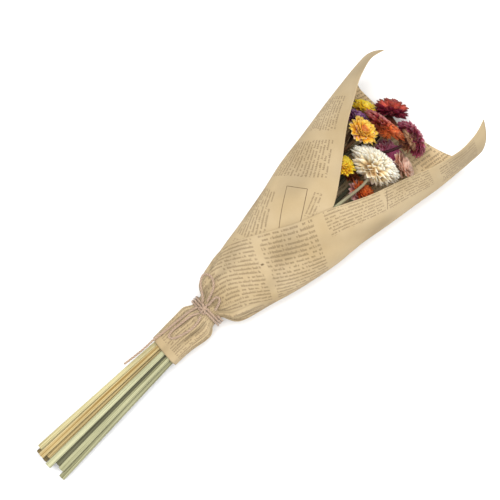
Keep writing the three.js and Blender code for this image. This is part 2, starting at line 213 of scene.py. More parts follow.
class NodeGraph:
    """A node tree, with short calls that add nodes and link them."""

    def __init__(self, tree: bpy.types.NodeTree) -> None:
        """Keeps the tree that the nodes go into."""
        self.tree = tree

    def feed(self, socket: Socket, value: object) -> None:
        """Links an input to an output, or gives it a plain value.

        Args:
            socket: the input.
            value: a term, a socket, a node whose first output is meant, or a plain value.
        """
        if isinstance(value, Term):
            value = value.socket
        elif isinstance(value, Node):
            value = value.outputs[0]
        if isinstance(value, Socket):
            self.tree.links.new(value, socket)
        else:
            socket.default_value = value

    def add(self, kind: str, feeds: dict = None, **settings: object) -> Node:
        """Adds a node.

        Args:
            kind: Blender's name for the node's type.
            feeds: what goes into its inputs, by their names or numbers.
            settings: attributes of the node to set first.

        Returns:
            The new node.
        """
        node = self.tree.nodes.new(kind)
        for name, value in settings.items():
            setattr(node, name, value)
        for key, value in (feeds or {}).items():
            self.feed(node.inputs[key], value)
        return node

    def term(self, kind: str, feeds: dict = None, output: int | str = 0, **settings: object) -> Term:
        """Adds a node and takes one of its outputs."""
        return Term(self, self.add(kind, feeds, **settings).outputs[output])

    def math(self, operation: str, *values: object) -> Term:
        """One arithmetic step on one to three numbers."""
        return self.term("ShaderNodeMath", dict(enumerate(values)), operation=operation)

    def near(self, value: Term, middle: object, reach: float) -> Term:
        """1 where a value is within reach of the middle, else 0."""
        return self.math("COMPARE", value, middle, reach)

    def most(self, first: object, *others: object) -> Term:
        """The greatest of some numbers."""
        for other in others:
            first = self.math("MAXIMUM", first, other)
        return first

    def blend(self, share: Term, first: object, second: object) -> Term:
        """A number that goes from first to second as share goes from 0 to 1."""
        return self.term("ShaderNodeMix", {0: share, 2: first, 3: second}, data_type="FLOAT")

    def vector(self, x: object, y: object, z: object) -> Term:
        """A vector from three numbers."""
        return self.term("ShaderNodeCombineXYZ", {0: x, 1: y, 2: z})

    def polar(self, radius: Term, angle: Term, height: object = 0.0) -> Term:
        """The place at a radius, an angle and a height."""
        return self.vector(radius * self.math("COSINE", angle), radius * self.math("SINE", angle), height)

    def split(self, vector: object) -> list[Term]:
        """The three numbers of a vector."""
        return [Term(self, part) for part in self.add("ShaderNodeSeparateXYZ", {0: vector}).outputs]


class ShaderGraph(NodeGraph):
    """The nodes of one material, around its one surface shader."""

    GLOSS = 0.22

    def __init__(self, name: str, roughness: float, plain: dict = None) -> None:
        """Starts a material whose plain values are set on the shader itself.

        Args:
            name: the material's name.
            roughness: the shader's roughness.
            plain: further plain values, by the names of the shader's inputs.
        """
        self.material = bpy.data.materials.new(name)
        self.material.use_nodes = True
        super().__init__(self.material.node_tree)
        self.shader = self.tree.nodes["Principled BSDF"]
        values = {"Roughness": roughness, "Specular IOR Level": self.GLOSS, **(plain or {})}
        for label, value in values.items():
            self.shader.inputs[label].default_value = value

    def object_place(self) -> Term:
        """The place in the object, for a texture."""
        return self.term("ShaderNodeTexCoord", None, "Object")

    def flat_map(self) -> Term:
        """The place on the mesh's own flat map."""
        return self.term("ShaderNodeUVMap", uv_map="flat")

    def attribute(self, name: str) -> Term:
        """A number that the mesh carries for each of its points."""
        return self.term("ShaderNodeAttribute", None, "Fac", attribute_name=name)

    def noise(self, place: Term, scale: float, detail: float = 2.0) -> Term:
        """Smooth noise from 0 to 1, at a scale and with a number of finer layers."""
        return self.term("ShaderNodeTexNoise", {"Vector": place, "Scale": scale, "Detail": detail}, "Fac")

    def dice(self, place: Term) -> list[Term]:
        """Four random numbers from 0 to 1 for each different place."""
        node = self.add("ShaderNodeTexWhiteNoise", {"Vector": place}, noise_dimensions="3D")
        parts = self.add("ShaderNodeSeparateColor", {0: node.outputs["Color"]}).outputs
        return [Term(self, part) for part in (node.outputs["Value"], *parts)]

    def fade(self, value: Term, start: float, end: float) -> Term:
        """A share that goes smoothly from 0 to 1 as a value goes from start to end."""
        feeds = {"Value": value, "From Min": start, "From Max": end}
        return self.term("ShaderNodeMapRange", feeds, interpolation_type="SMOOTHSTEP")

    def ramp(self, share: Term, stops: list[tuple[float, Colour]]) -> Term:
        """A colour that passes through stops as share goes from 0 to 1.

        Args:
            share: the number that picks the colour.
            stops: each stop's place from 0 to 1 and its colour.

        Returns:
            The colour.
        """
        node = self.add("ShaderNodeValToRGB", {0: share})
        elements = node.color_ramp.elements
        while len(elements) < len(stops):
            elements.new(0.5)
        for element, (position, colour) in zip(elements, stops):
            element.position = position
            element.color = (*colour, 1)
        return Term(self, node.outputs[0])

    def mix(self, share: Term, first: Term, second: Colour) -> Term:
        """A colour that goes from first to second as share goes from 0 to 1."""
        return self.term("ShaderNodeMix", {0: share, 6: first, 7: (*second, 1)}, 2, data_type="RGBA")

    def shade(self, colour: Term, amount: Term) -> Term:
        """A colour made lighter or darker by a number around 1."""
        return self.term("ShaderNodeVectorMath", {0: colour, "Scale": amount}, operation="SCALE")

    def finish(self, colour: Term, height: Term = None, depth: float = 0.0) -> Material:
        """Links the colour and the relief to the shader.

        Args:
            colour: the surface's colour.
            height: the relief from 0 to 1, or nothing.
            depth: how deep the relief is, in metres.

        Returns:
            The finished material.
        """
        self.feed(self.shader.inputs["Base Color"], colour)
        if height is not None:
            bump = self.add("ShaderNodeBump", {"Distance": depth, "Height": height})
            self.feed(self.shader.inputs["Normal"], bump)
        return self.material


class GrowthGraph(NodeGraph):
    """A geometry node tree with named inputs."""

    def __init__(self, name: str, inputs: dict[str, tuple]) -> None:
        """Starts a tree.

        Args:
            name: the tree's name.
            inputs: the names of its inputs by their type, besides the geometry and the material.
        """
        super().__init__(bpy.data.node_groups.new(name, "GeometryNodeTree"))
        face = self.tree.interface
        for kind, labels in {"Geometry": ("Geometry",), **inputs, "Material": ("Material",)}.items():
            for label in labels:
                face.new_socket(label, in_out="INPUT", socket_type=f"NodeSocket{kind}")
        face.new_socket("Geometry", in_out="OUTPUT", socket_type="NodeSocketGeometry")
        self.given = {part.name: Term(self, part) for part in self.add("NodeGroupInput").outputs}
        self.result = self.add("NodeGroupOutput").inputs[0]

    def store(self, geometry: object, name: str, value: object, domain: str = "POINT") -> Term:
        """Keeps a number on the geometry under a name that a material can read."""
        feeds = {"Geometry": geometry, "Name": name, "Value": value}
        return self.term("GeometryNodeStoreNamedAttribute", feeds, data_type="FLOAT", domain=domain)

    def chance(self, low: float, high: float, seed: Term) -> Term:
        """A random number between two bounds for each element, from a fixed seed."""
        return self.term("FunctionNodeRandomValue", {2: low, 3: high, "Seed": seed}, 1, data_type="FLOAT")

    def scatter(self, points: object, piece: object, rotation: object, scale: Term) -> Term:
        """Copies of a piece on points, each turned and scaled in its own way."""
        feeds = {"Points": points, "Instance": piece, "Rotation": rotation, "Scale": scale}
        return self.term("GeometryNodeInstanceOnPoints", feeds)

    def close(self, geometry: Term, also: Term = None) -> None:
        """Ends the tree in Realize Instances and Set Material.

        Args:
            geometry: what the tree has made.
            also: what is joined to it as it came in, or nothing.
        """
        real = self.add("GeometryNodeRealizeInstances", {0: geometry})
        end = self.add("GeometryNodeSetMaterial", {"Geometry": real, "Material": self.given["Material"]})
        if also is not None:
            joined = self.add("GeometryNodeJoinGeometry", {0: also})
            self.feed(joined.inputs[0], end)
            end = joined
        self.feed(self.result, end)

    def use(self, thing: Thing, values: dict[str, object]) -> None:
        """Adds the tree to an object as a modifier.

        Args:
            thing: the object.
            values: the tree's inputs by their names.
        """
        modifier = thing.modifiers.new(self.tree.name, "NODES")
        modifier.node_group = self.tree
        for item in self.tree.interface.items_tree:
            if item.in_out == "INPUT" and item.name in values:
                modifier[item.identifier] = values[item.name]


class SweepGraph(GrowthGraph):
    """A tree that sweeps a shaped section along each given line, in even steps."""

    def rail(self) -> Term:
        """The given lines as curves with points at even steps."""
        line = self.add("GeometryNodeMeshToCurve", {0: self.given["Geometry"]})
        feeds = {"Curve": line, "Length": self.given["Step"]}
        return self.term("GeometryNodeResampleCurve", feeds, mode="LENGTH")

    def along(self, measure: str) -> Term:
        """How far along its curve a point is, as a Length or as a Factor from 0 to 1."""
        return self.term("GeometryNodeSplineParameter", None, measure)

    def section(self, angle: Term, radius: Term) -> Term:
        """The section's outline, from its radius at each angle."""
        feeds = {"Resolution": self.given["Sides"], "Radius": 1.0}
        circle = self.add("GeometryNodeCurvePrimitiveCircle", feeds, mode="RADIUS")
        feeds = {"Geometry": circle, "Position": self.polar(radius, angle)}
        return self.term("GeometryNodeSetPosition", feeds)

    def sweep(self, rail: Term, section: Term, scale: object = 1.0) -> Term:
        """The skin over the section along the rail, with closed ends."""
        feeds = {"Curve": rail, "Profile Curve": section, "Scale": scale, "Fill Caps": True}
        return self.term("GeometryNodeCurveToMesh", feeds)


def settle(thing: Thing) -> Thing:
    """Turns what an object's modifiers make into its own plain mesh.

    Args:
        thing: the object with its modifiers.

    Returns:
        The same object, with no modifier left.
    """
    graph = bpy.context.evaluated_depsgraph_get()
    graph.update()
    made = bpy.data.meshes.new_from_object(
        thing.evaluated_get(graph), preserve_all_data_layers=True, depsgraph=graph
    )
    thing.modifiers.clear()
    thing.data = made
    made.name = thing.name
    made.polygons.foreach_set("use_smooth", [True] * len(made.polygons))
    return thing


def hand_over(thing: Thing, node: str = "") -> Thing:
    """Lets a piece ride on the body, in place of its CAD node if it has one, and reports it.

    Args:
        thing: the finished piece.
        node: the CAD node that it stands for.

    Returns:
        The same piece.
    """
    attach(thing, BODY)
    if node:
        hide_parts(node)
    thing.data.calc_loop_triangles()
    log.info("%s stands for %s: %d triangles", thing.name, node or "no node", len(thing.data.loop_triangles))
    return thing


@dataclass
class PhotoCamera:
    """A camera high above the table, turned so that the bunch points up and to the right."""

    target: Point = (-0.0947, 0.0116, 0.03)
    height: float = 2.4
    field: float = 0.385
    turn: float = math.radians(-45)
    sensor: float = 36.0

    def build(self) -> Thing:
        """Makes the camera and gives it to the scene.

        Returns:
            The camera.
        """
        data = bpy.data.cameras.new("photo_camera")
        data.sensor_width = self.sensor
        data.lens = self.sensor * self.height / self.field
        camera = bpy.data.objects.new("photo_camera", data)
        camera.location = Vector(self.target) + Vector((0, 0, self.height))
        camera.rotation_euler = (0, 0, self.turn)
        bpy.context.scene.collection.objects.link(camera)
        bpy.context.scene.camera = camera
        return camera


@dataclass(frozen=True)
class Lamp:
    """A square soft light: its power in watts, its side and its place."""

    name: str
    power: float
    size: float
    place: Point

    def build(self, target: Point) -> None:
        """Makes the light.

        Args:
            target: the place that it points at.
        """
        data = bpy.data.lights.new(self.name, "AREA")
        data.energy = self.power
        data.size = self.size
        lamp = bpy.data.objects.new(self.name, data)
        lamp.location = self.place
        lamp.rotation_mode = "QUATERNION"
        lamp.rotation_quaternion = (Vector(target) - lamp.location).to_track_quat("-Z", "Y")
        bpy.context.scene.collection.objects.link(lamp)


@dataclass
class Studio:
    """A plain pale floor under soft white light."""

    floor_half: float = 3.0
    floor_drop: float = 0.0004
    floor_shades: Span = (0.9, 0.92)
    floor_grain: float = 40.0
    floor_roughness: float = 0.95
    sky: float = 0.54
    target: Point = (-0.09, 0.0, 0.03)
    lamps: tuple = (
        Lamp("key_light", 82.0, 1.6, (0.15, 0.4, 2.5)),
        Lamp("fill_light", 16.0, 2.0, (0.3, -1.6, 1.1)),
    )

    def build(self) -> None:
        """Makes the floor, the lights and the sky."""
        half, low = self.floor_half, -self.floor_drop
        corners = np.array([(-half, -half, low), (half, -half, low), (half, half, low), (-half, half, low)])
        floor = place_in_scene("floor", mesh_from("floor", corners, [(0, 1, 2, 3)]))
        graph = ShaderGraph("pale_floor", self.floor_roughness)
        stops = [(i, (shade,) * 3) for i, shade in enumerate(self.floor_shades)]
        grain = graph.noise(graph.object_place(), self.floor_grain)
        floor.data.materials.append(graph.finish(graph.ramp(grain, stops)))
        for lamp in self.lamps:
            lamp.build(self.target)
        world = bpy.data.worlds.new("studio")
        world.use_nodes = True
        sky = world.node_tree.nodes["Background"].inputs
        sky[0].default_value = (1, 1, 1, 1)
        sky[1].default_value = self.sky
        bpy.context.scene.world = world
        bpy.context.scene.view_settings.view_transform = "Standard"


@dataclass(frozen=True)
class JuteFinish:
    """Hairy natural jute: pale fibres, with painted shade in the grooves between the plies."""

    crest: Colour = srgb("b09781")
    # painted shade: the colour deep in the grooves between the plies
    painted_groove_shade: Colour = srgb("735b49")
    crest_from: float = 0.8
    fibre_grain: Span = (1400, 3)
    patch_grain: Span = (120, 2)
    fibre_tone: float = 0.5
    patch_tone: float = 0.3
    least_tone: float = 0.62
    relief: float = 0.0002
    roughness: float = 0.9
    sheen: float = 0.25

    def material(self) -> Material:
        """Makes the material.

        Returns:
            The material, which reads the attribute ply.
        """
        graph = ShaderGraph("jute", self.roughness, {"Sheen Weight": self.sheen})
        fibres = graph.noise(graph.object_place(), *self.fibre_grain)
        patches = graph.noise(graph.object_place(), *self.patch_grain)
        # painted shade: the colour darkens from the crest down into the grooves, by the attribute ply
        colour = graph.ramp(graph.attribute("ply"), [(0.0, self.painted_groove_shade), (self.crest_from, self.crest)])
        tone = fibres * self.fibre_tone + (patches * self.patch_tone + self.least_tone)
        return graph.finish(graph.shade(colour, tone), fibres, self.relief)


@dataclass
class Twine:
    """Three-ply jute twine: the turns round the neck, the knot and the bow's free strands."""

    diameter: float = 0.0018
    plies: int = 3
    ply_radius: float = 0.56
    groove_depth: float = 0.4
    lay: float = 0.0075
    step: float = 0.0005
    sides: int = 18
    fibres_per_area: float = 900000.0
    fibre_length: float = 0.0028
    fibre_radius: float = 0.00004
    fibre_lean: float = 1.4
    shortest_fibre: float = 0.35
    tie_turns: float = 2.9
    tie_points: int = 160
    tie_pitch: float = 0.0022
    tie_radius: float = 0.0134
    tie_mid: float = 0.0016
    tie_level: float = 0.022
    route_steps: int = 8
    knot: tuple = (
        ((-0.1556, 0.0042, 0.0352), (-0.1542, 0.0044, 0.0372), (-0.1515, 0.0046, 0.038),
         (-0.1488, 0.0048, 0.0372), (-0.1474, 0.005, 0.0354)),
        ((-0.1534, 0.0012, 0.0356), (-0.1528, 0.0026, 0.0374), (-0.1515, 0.0046, 0.0383),
         (-0.1502, 0.0068, 0.0372), (-0.1496, 0.0082, 0.0354)),
        ((-0.1498, 0.0016, 0.0356), (-0.1504, 0.003, 0.037), (-0.1516, 0.0048, 0.0379),
         (-0.1526, 0.0064, 0.037), (-0.1532, 0.0076, 0.0356)),
    )
    loop_right: tuple = (
        (-0.1487, 0.0091, 0.036), (-0.1453, 0.0126, 0.0382), (-0.1422, 0.0172, 0.0382),
        (-0.1385, 0.0214, 0.0372), (-0.1342, 0.0234, 0.0362), (-0.1311, 0.0216, 0.037),
        (-0.1304, 0.0176, 0.0386), (-0.1326, 0.0132, 0.0406), (-0.137, 0.0098, 0.0407),
        (-0.1418, 0.008, 0.0394), (-0.1456, 0.007, 0.0382),
    )
    loop_small: tuple = (
        (-0.1472, 0.0042, 0.038), (-0.1424, 0.0046, 0.0402), (-0.139, 0.0044, 0.0414),
        (-0.1376, 0.0024, 0.0418), (-0.1392, 0.0002, 0.0414), (-0.1428, -0.0012, 0.0396),
        (-0.1464, -0.0022, 0.0378),
    )
    loop_left: tuple = (
        (-0.1568, 0.005, 0.0361), (-0.1614, 0.0074, 0.0354), (-0.1674, 0.0086, 0.0343),
        (-0.1742, 0.0094, 0.0331), (-0.181, 0.01, 0.032), (-0.1858, 0.0088, 0.0316),
        (-0.1846, 0.0054, 0.0328), (-0.1782, 0.0026, 0.0337), (-0.17, 0.0006, 0.0352),
        (-0.1622, 0.0008, 0.0364), (-0.1576, 0.0026, 0.0368),
    )
    tail_long: tuple = (
        (-0.1542, 0.009, 0.0357), (-0.16, 0.0108, 0.034), (-0.1682, 0.0118, 0.0326),
        (-0.177, 0.0128, 0.0312), (-0.186, 0.0138, 0.0294), (-0.1954, 0.0152, 0.0286),
        (-0.2052, 0.0156, 0.0272), (-0.2154, 0.0166, 0.0258), (-0.2256, 0.018, 0.0246),
    )
    finish: JuteFinish = JuteFinish()

    def __post_init__(self) -> None:
        """Makes the trees and the material that all the strands share."""
        self.material = self.finish.material()
        self.laying = self.laying_tree()
        self.fuzzing = self.fuzzing_tree()

    def laying_tree(self) -> SweepGraph:
        """The tree that sweeps a twisted section of round plies along each line.

        Returns:
            The tree.
        """
        floats = ("Radius", "Ply Radius", "Plies", "Lay", "Step")
        graph = SweepGraph("lay_twine", {"Float": floats, "Int": ("Sides",)})
        given = graph.given
        twist = graph.along("Length") / given["Lay"] * TURN
        rail = graph.term("GeometryNodeSetCurveTilt", {"Curve": graph.rail(), "Tilt": twist})
        angle = graph.along("Factor") * TURN
        half_ply = graph.math("DIVIDE", TURN / 2, given["Plies"])
        from_crest = graph.math("WRAP", angle, half_ply, half_ply * -1.0)
        ply = given["Ply Radius"]
        offset = 1.0 - ply
        across = offset * graph.math("SINE", from_crest)
        rim = offset * graph.math("COSINE", from_crest) + graph.math("SQRT", ply * ply - across * across)
        section = graph.section(angle, rim * given["Radius"])
        # ply is 0 at the bottom of the grooves and 1 on a crest; the jute's material paints shade in the
        # grooves from it
        share = (rim - (1 - self.groove_depth)) / self.groove_depth
        graph.close(graph.sweep(rail, graph.store(section, "ply", share)))
        return graph

    def fuzzing_tree(self) -> GrowthGraph:
        """The tree that scatters loose fibres over a strand.

        Returns:
            The tree.
        """
        graph = GrowthGraph("fuzz", {"Float": ("Density", "Length", "Thickness"), "Int": ("Seed",)})
        given = graph.given
        seed = given["Seed"]
        feeds = {"Mesh": given["Geometry"], "Density": given["Density"], "Seed": seed}
        roots = graph.add("GeometryNodeDistributePointsOnFaces", feeds, distribute_method="RANDOM")
        feeds = {"Vertices": 3, "Radius Bottom": given["Thickness"], "Depth": given["Length"]}
        fibre = graph.add("GeometryNodeMeshCone", feeds)
        most = self.fibre_lean
        lean = graph.vector(graph.chance(-most, most, seed), graph.chance(-most, most, seed + 1.0), 0.0)
        feeds = {0: roots.outputs["Rotation"], 1: graph.add("FunctionNodeEulerToRotation", {0: lean})}
        turned = graph.add("FunctionNodeRotateRotation", feeds, rotation_space="LOCAL")
        size = graph.vector(1.0, 1.0, graph.chance(self.shortest_fibre, 1.0, seed + 2.0))
        graph.close(graph.scatter(roots, fibre, turned, size))
        return graph

    def strand(self, name: str, lines: list[Array]) -> Thing:
        """Lays twine along lines and hands it over.

        Args:
            name: the name of the strand's CAD node.
            lines: the points along each line.

        Returns:
            The piece.
        """
        piece = lines_in_scene(f"{name}_laid", lines)
        self.laying.use(piece, {
            "Radius": self.diameter / 2,
            "Ply Radius": self.ply_radius,
            "Plies": float(self.plies),
            "Lay": self.lay,
            "Step": self.step,
            "Sides": self.sides,
            "Material": self.material,
        })
        return hand_over(settle(piece), name)

    def turns(self) -> Array:
        """The line of the turns round the neck.

        Returns:
            Its points, one row each.
        """
        turns = np.linspace(0, self.tie_turns, self.tie_points)
        return np.column_stack([
            TIE_X + self.tie_pitch * (turns - self.tie_turns / 2),
            self.tie_mid + self.tie_radius * np.sin(turns * TURN),
            self.tie_level + self.tie_radius * np.cos(turns * TURN),
        ])

    def free_strand(self, name: str, route: tuple) -> Thing:
        """Args:
            name: the name of the strand's CAD node.
            route: the points that it passes through, from the knot on.

        Returns:
            The piece.
        """
        line = catmull_rom(list(route), self.route_steps)
        piece = self.strand(name, [line])
        return piece

    def build(self) -> None:
        """Makes the bow's strands, then the tie with its knot, then the loose fibres."""
        small = self.strand("twine_loop_small", [catmull_rom(list(self.loop_small), self.route_steps)])
        right = self.free_strand("twine_loop_right", self.loop_right)
        left = self.free_strand("twine_loop_left", self.loop_left)
        tail = self.free_strand("twine_tail_long", self.tail_long)
        knots = [catmull_rom(list(route), self.route_steps) for route in self.knot]
        tie = self.strand("twine_tie", [self.turns(), *knots])
        for seed, piece in enumerate([small, right, left, tail, tie]):
            self.fuzz(piece, seed)

    def fuzz(self, piece: Thing, seed: int) -> None:
        """Scatters loose fibres over a strand, as a piece of their own.

        Args:
            piece: the strand.
            seed: the seed of the random draws.
        """
        thing = place_in_scene(piece.name.replace("_laid", "_fibres"), piece.data.copy())
        self.fuzzing.use(thing, {
            "Density": self.fibres_per_area,
            "Length": self.fibre_length,
            "Thickness": self.fibre_radius,
            "Seed": seed,
            "Material": self.material,
        })
        hand_over(settle(thing))


@dataclass(frozen=True)
class Station:
    """The roll of the paper at one place along the bunch.

    half is half its width, mid the middle of its width and level the height of its widest
    level. low is its depth below that level, and left and right its rise above it on each side.
    The edges are the angles of the sheet's two edges from straight up, positive to the left,
    and pleat is the depth of its pleats.
    """

    x: float
    half: float
    mid: float
    level: float
    low: float
    left: float
    right: float
    left_edge: float
    right_edge: float
    pleat: float


@dataclass(frozen=True)
class Wave:
    """One wave in the paper: how many go round the roll, its phase, size and pace along it."""

    count: int
    phase: float
    size: float
    pace: float


@dataclass(frozen=True)
class GatherZone:
    """Where gathers are deepest, how far they spread, where they start and over what length.

    The length is negative where they start from the tie towards the stalks.
    """

    middle: float
    spread: float
    start: float
    onset: float


@dataclass
class RollForm:
    """The rolled sheet as a surface over its place across and along.

    valley is how much deeper the folds of the gathers are than they are high. dent_fade is
    the length over which the dents grow on both sides of the tie, and the share of it that
    stays smooth.
    """

    layer_pitch: float = 0.001
    pleats: int = 7
    thickness: float = 0.0003
    probe_length: float = 0.0005
    probe_angle: float = 0.5
    gathers: tuple = (Wave(9, 0.4, 0.0006, 50), Wave(14, 2.1, 0.0005, 50), Wave(23, 4.4, 0.0003, 50))
    gather_zones: tuple = (
        GatherZone(-0.138, 0.015, -0.1475, 0.004),
        GatherZone(-0.167, 0.013, -0.1555, -0.004),
    )
    valley: float = 1.4
    dents: tuple = (Wave(3, 0.7, 0.0004, 61), Wave(5, 2.9, 0.00024, -95), Wave(9, 5.1, 0.000112, 130))
    dent_fade: Span = (0.02, 0.2)
    stations: tuple = (
        Station(-0.206, 0.0126, 0.003, 0.0179, 0.0104, 0.0104, 0.0104, -60, 120, 0.0002),
        Station(-0.182, 0.0133, 0.0028, 0.0197, 0.011, 0.011, 0.011, -60, 120, 0.0004),
        Station(-0.164, 0.0138, 0.0016, 0.0212, 0.012, 0.012, 0.012, -60, 120, 0.0008),
        Station(-0.156, 0.0108, 0.0016, 0.022, 0.0108, 0.0108, 0.0108, -60, 120, 0),
        Station(-0.147, 0.0108, 0.0016, 0.022, 0.0108, 0.0108, 0.0108, -60, 120, 0),
        Station(-0.139, 0.0194, 0.0002, 0.023, 0.015, 0.015, 0.015, -62, 114, 0.0009),
        Station(-0.127, 0.0242, -0.0006, 0.0242, 0.018, 0.018, 0.018, -62, 104, 0.0007),
        Station(-0.105, 0.0302, -0.0015, 0.0258, 0.021, 0.021, 0.021, -60, 66, 0.0002),
        Station(-0.083, 0.0348, -0.0026, 0.027, 0.024, 0.0235, 0.0235, -46, 33, 0),
        Station(-0.058, 0.0396, -0.0028, 0.028, 0.0266, 0.0255, 0.0255, -28, 8, 0),
        Station(-0.027, 0.0445, -0.0018, 0.0288, 0.0285, 0.028, 0.028, -11, -11, 0),
        Station(0.0, 0.0486, -0.002, 0.0294, 0.0297, 0.034, 0.034, 12, -26, 0),
        Station(0.025, 0.0523, -0.002, 0.0302, 0.0303, 0.048, 0.047, 34, -36, 0),
        Station(0.042, 0.0548, -0.0022, 0.031, 0.0304, 0.063, 0.057, 46, -43, 0),
        Station(0.058, 0.0565, -0.0024, 0.0318, 0.0306, 0.092, 0.066, 59, -48, 0),
        Station(0.072, 0.0576, -0.0028, 0.0324, 0.0308, 0.116, 0.072, 66, -51, 0),
        Station(0.086, 0.0582, -0.003, 0.0328, 0.0308, 0.094, 0.068, 59, -49, 0),
        Station(0.102, 0.0586, -0.0032, 0.033, 0.0308, 0.094, 0.058, 59, -42, 0),
    )

    def at(self, name: str, x: Array) -> Array:
        """One field of the stations at places along the bunch, on a curve that never overshoots.

        Args:
            name: the field.
            x: the places.

        Returns:
            The field's value at each place.
        """
        places = np.array([s.x for s in self.stations])
        values = np.array([getattr(s, name) for s in self.stations], float)
        step = np.diff(places)
        rise = np.diff(values) / step
        before, after = rise[:-1], rise[1:]
        same_way = before * after > 0
        total = np.where(same_way, before + after, 1)
        slope = np.concatenate([rise[:1], np.where(same_way, 2 * before * after / total, 0), rise[-1:]])
        i = np.clip(np.searchsorted(places, x, side="right") - 1, 0, len(step) - 1)
        t = np.clip((x - places[i]) / step[i], 0, 1)
        bend = (1 - t) ** 2 * t * slope[i] - (1 - t) * t**2 * slope[i + 1]
        ease = t**2 * (3 - 2 * t)
        inside = values[i] * (1 - ease) + values[i + 1] * ease + step[i] * bend
        beyond = np.minimum(x - places[0], 0) * slope[0] + np.maximum(x - places[-1], 0) * slope[-1]
        return inside + beyond

    def bare(self, angle: Array, x: Array) -> Array:
        """The roll's surface without its turns.

        Args:
            angle: the angles from straight up, in degrees.
            x: the places along the bunch.

        Returns:
            A point for each angle and place.
        """
        turn = np.mod(angle, 360)
        upper = np.where(turn < 180, self.at("left", x), self.at("right", x))
        reach = np.where(np.cos(np.radians(turn)) >= 0, upper, self.at("low", x))
        side = self.at("mid", x) + self.at("half", x) * np.sin(np.radians(turn))
        height = self.at("level", x) + reach * np.cos(np.radians(turn))
        return np.stack([x, side, height], axis=-1)

    def outward(self, angle: Array, x: Array) -> Array:
        """The direction out of the roll at angles and places along.

        Args:
            angle: the angles from straight up, in degrees.
            x: the places along the bunch.

        Returns:
            A unit vector for each angle and place.
        """
        along = self.bare(angle, x + self.probe_length) - self.bare(angle, x - self.probe_length)
        around = self.bare(angle + self.probe_angle, x) - self.bare(angle - self.probe_angle, x)
        normal = np.cross(along, around)
        return normal / np.linalg.norm(normal, axis=-1, keepdims=True)

    def angle(self, place: Array, x: Array) -> Array:
        """The angle round the roll at a place across the sheet, 0 at its left edge to 1."""
        left = self.at("left_edge", x)
        return left + place * (self.at("right_edge", x) + 360 - left)

    def crumple(self, angle: Array, x: Array) -> Array:
        """Gathers near the tie and slight dents elsewhere, the same in every layer of the roll.

        Args:
            angle: the angles from straight up, in degrees.
            x: the places along the bunch.

        Returns:
            How far the paper is moved outwards at each angle and place.
        """
        turn = np.radians(angle)
        near_tie = sum(
            np.exp(-(((x - zone.middle) / zone.spread) ** 2)) * np.clip((x - zone.start) / zone.onset, 0, 1)
            for zone in self.gather_zones
        )
        gathers = 0.0
        for wave in self.gathers:
            fold = 2 * np.abs(np.sin((wave.count * turn + wave.phase + wave.pace * x) / 2)) - 1
            gathers = gathers + wave.size * np.where(fold < 0, self.valley * fold, fold)
        dents = sum(
            wave.size * np.cos(wave.count * turn + wave.phase) * np.cos(wave.pace * x + 2 * wave.phase)
            for wave in self.dents
        )
        length, smooth = self.dent_fade
        clear = np.clip(np.abs(x - TIE_X) / length - smooth, 0, 1)
        return gathers * near_tie + dents * clear

    def point(self, place: Array, x: Array, out: float) -> Array:
        """Points of the sheet, none of them below the table.

        Args:
            place: the places across the sheet, 0 to 1.
            x: the places along the bunch.
            out: how far the points are outside the middle of the paper.

        Returns:
            The points.
        """
        angle = self.angle(place, x)
        layer = self.layer_pitch * (angle - 180) / 360
        pleat = self.at("pleat", x) * np.cos(self.pleats * np.radians(angle))
        offset = layer + pleat + self.crumple(angle, x) + out
        points = self.bare(angle, x) + self.outward(angle, x) * offset[..., None]
        lowest = 0 if out > 0 else self.thickness / 2
        points[..., 2] = np.maximum(points[..., 2], lowest)
        return points


@dataclass(frozen=True)
class PrintBlock:
    """A block of printed rows on the flat sheet: its spans across and along, in metres.

    lean is how far the block's ends shift along the sheet for each metre across it.
    """

    across: Span
    along: Span
    lean: float = 0.0


@dataclass(frozen=True)
class PrintSize:
    """One size of print with its blocks, the pitch of its rows and that of its strokes.

    tilt is how far a row shifts across the sheet for each metre along it, from pivot on.
    """

    row_pitch: float
    mark_pitch: float
    blocks: tuple
    tilt: float = 0.0
    pivot: float = 0.0


@dataclass(frozen=True)
class Rule:
    """A thin printed line between two points of the flat sheet, across and along."""

    start: Span
    end: Span
    width: float = 0.0005


@dataclass(frozen=True)
class StrokeForm:
    """The two upright strokes and the bar of one printed mark, in a cell that is 1 by 1.

    Each span is a middle and a reach: the strokes' heights, then the places of the strokes
    and the bar along the row. The shares say how often a mark has each part. row_key and
    mark_key keep the random draws of rows and of marks apart.
    """

    body: Span = (0.48, 0.22)
    riser: Span = (0.62, 0.3)
    faller: Span = (0.36, 0.26)
    first: Span = (0.22, 0.17)
    second: Span = (0.68, 0.17)
    bar: Span = (0.45, 0.26)
    bar_levels: Span = (0.34, 0.62)
    bar_reach: float = 0.055
    blank_share: float = 0.14
    single_share: float = 0.2
    faller_share: float = 0.12
    no_riser_share: float = 0.68
    row_key: Span = (3.0, 7.0)
    mark_key: float = 1.0
    row_shift: float = 31.0


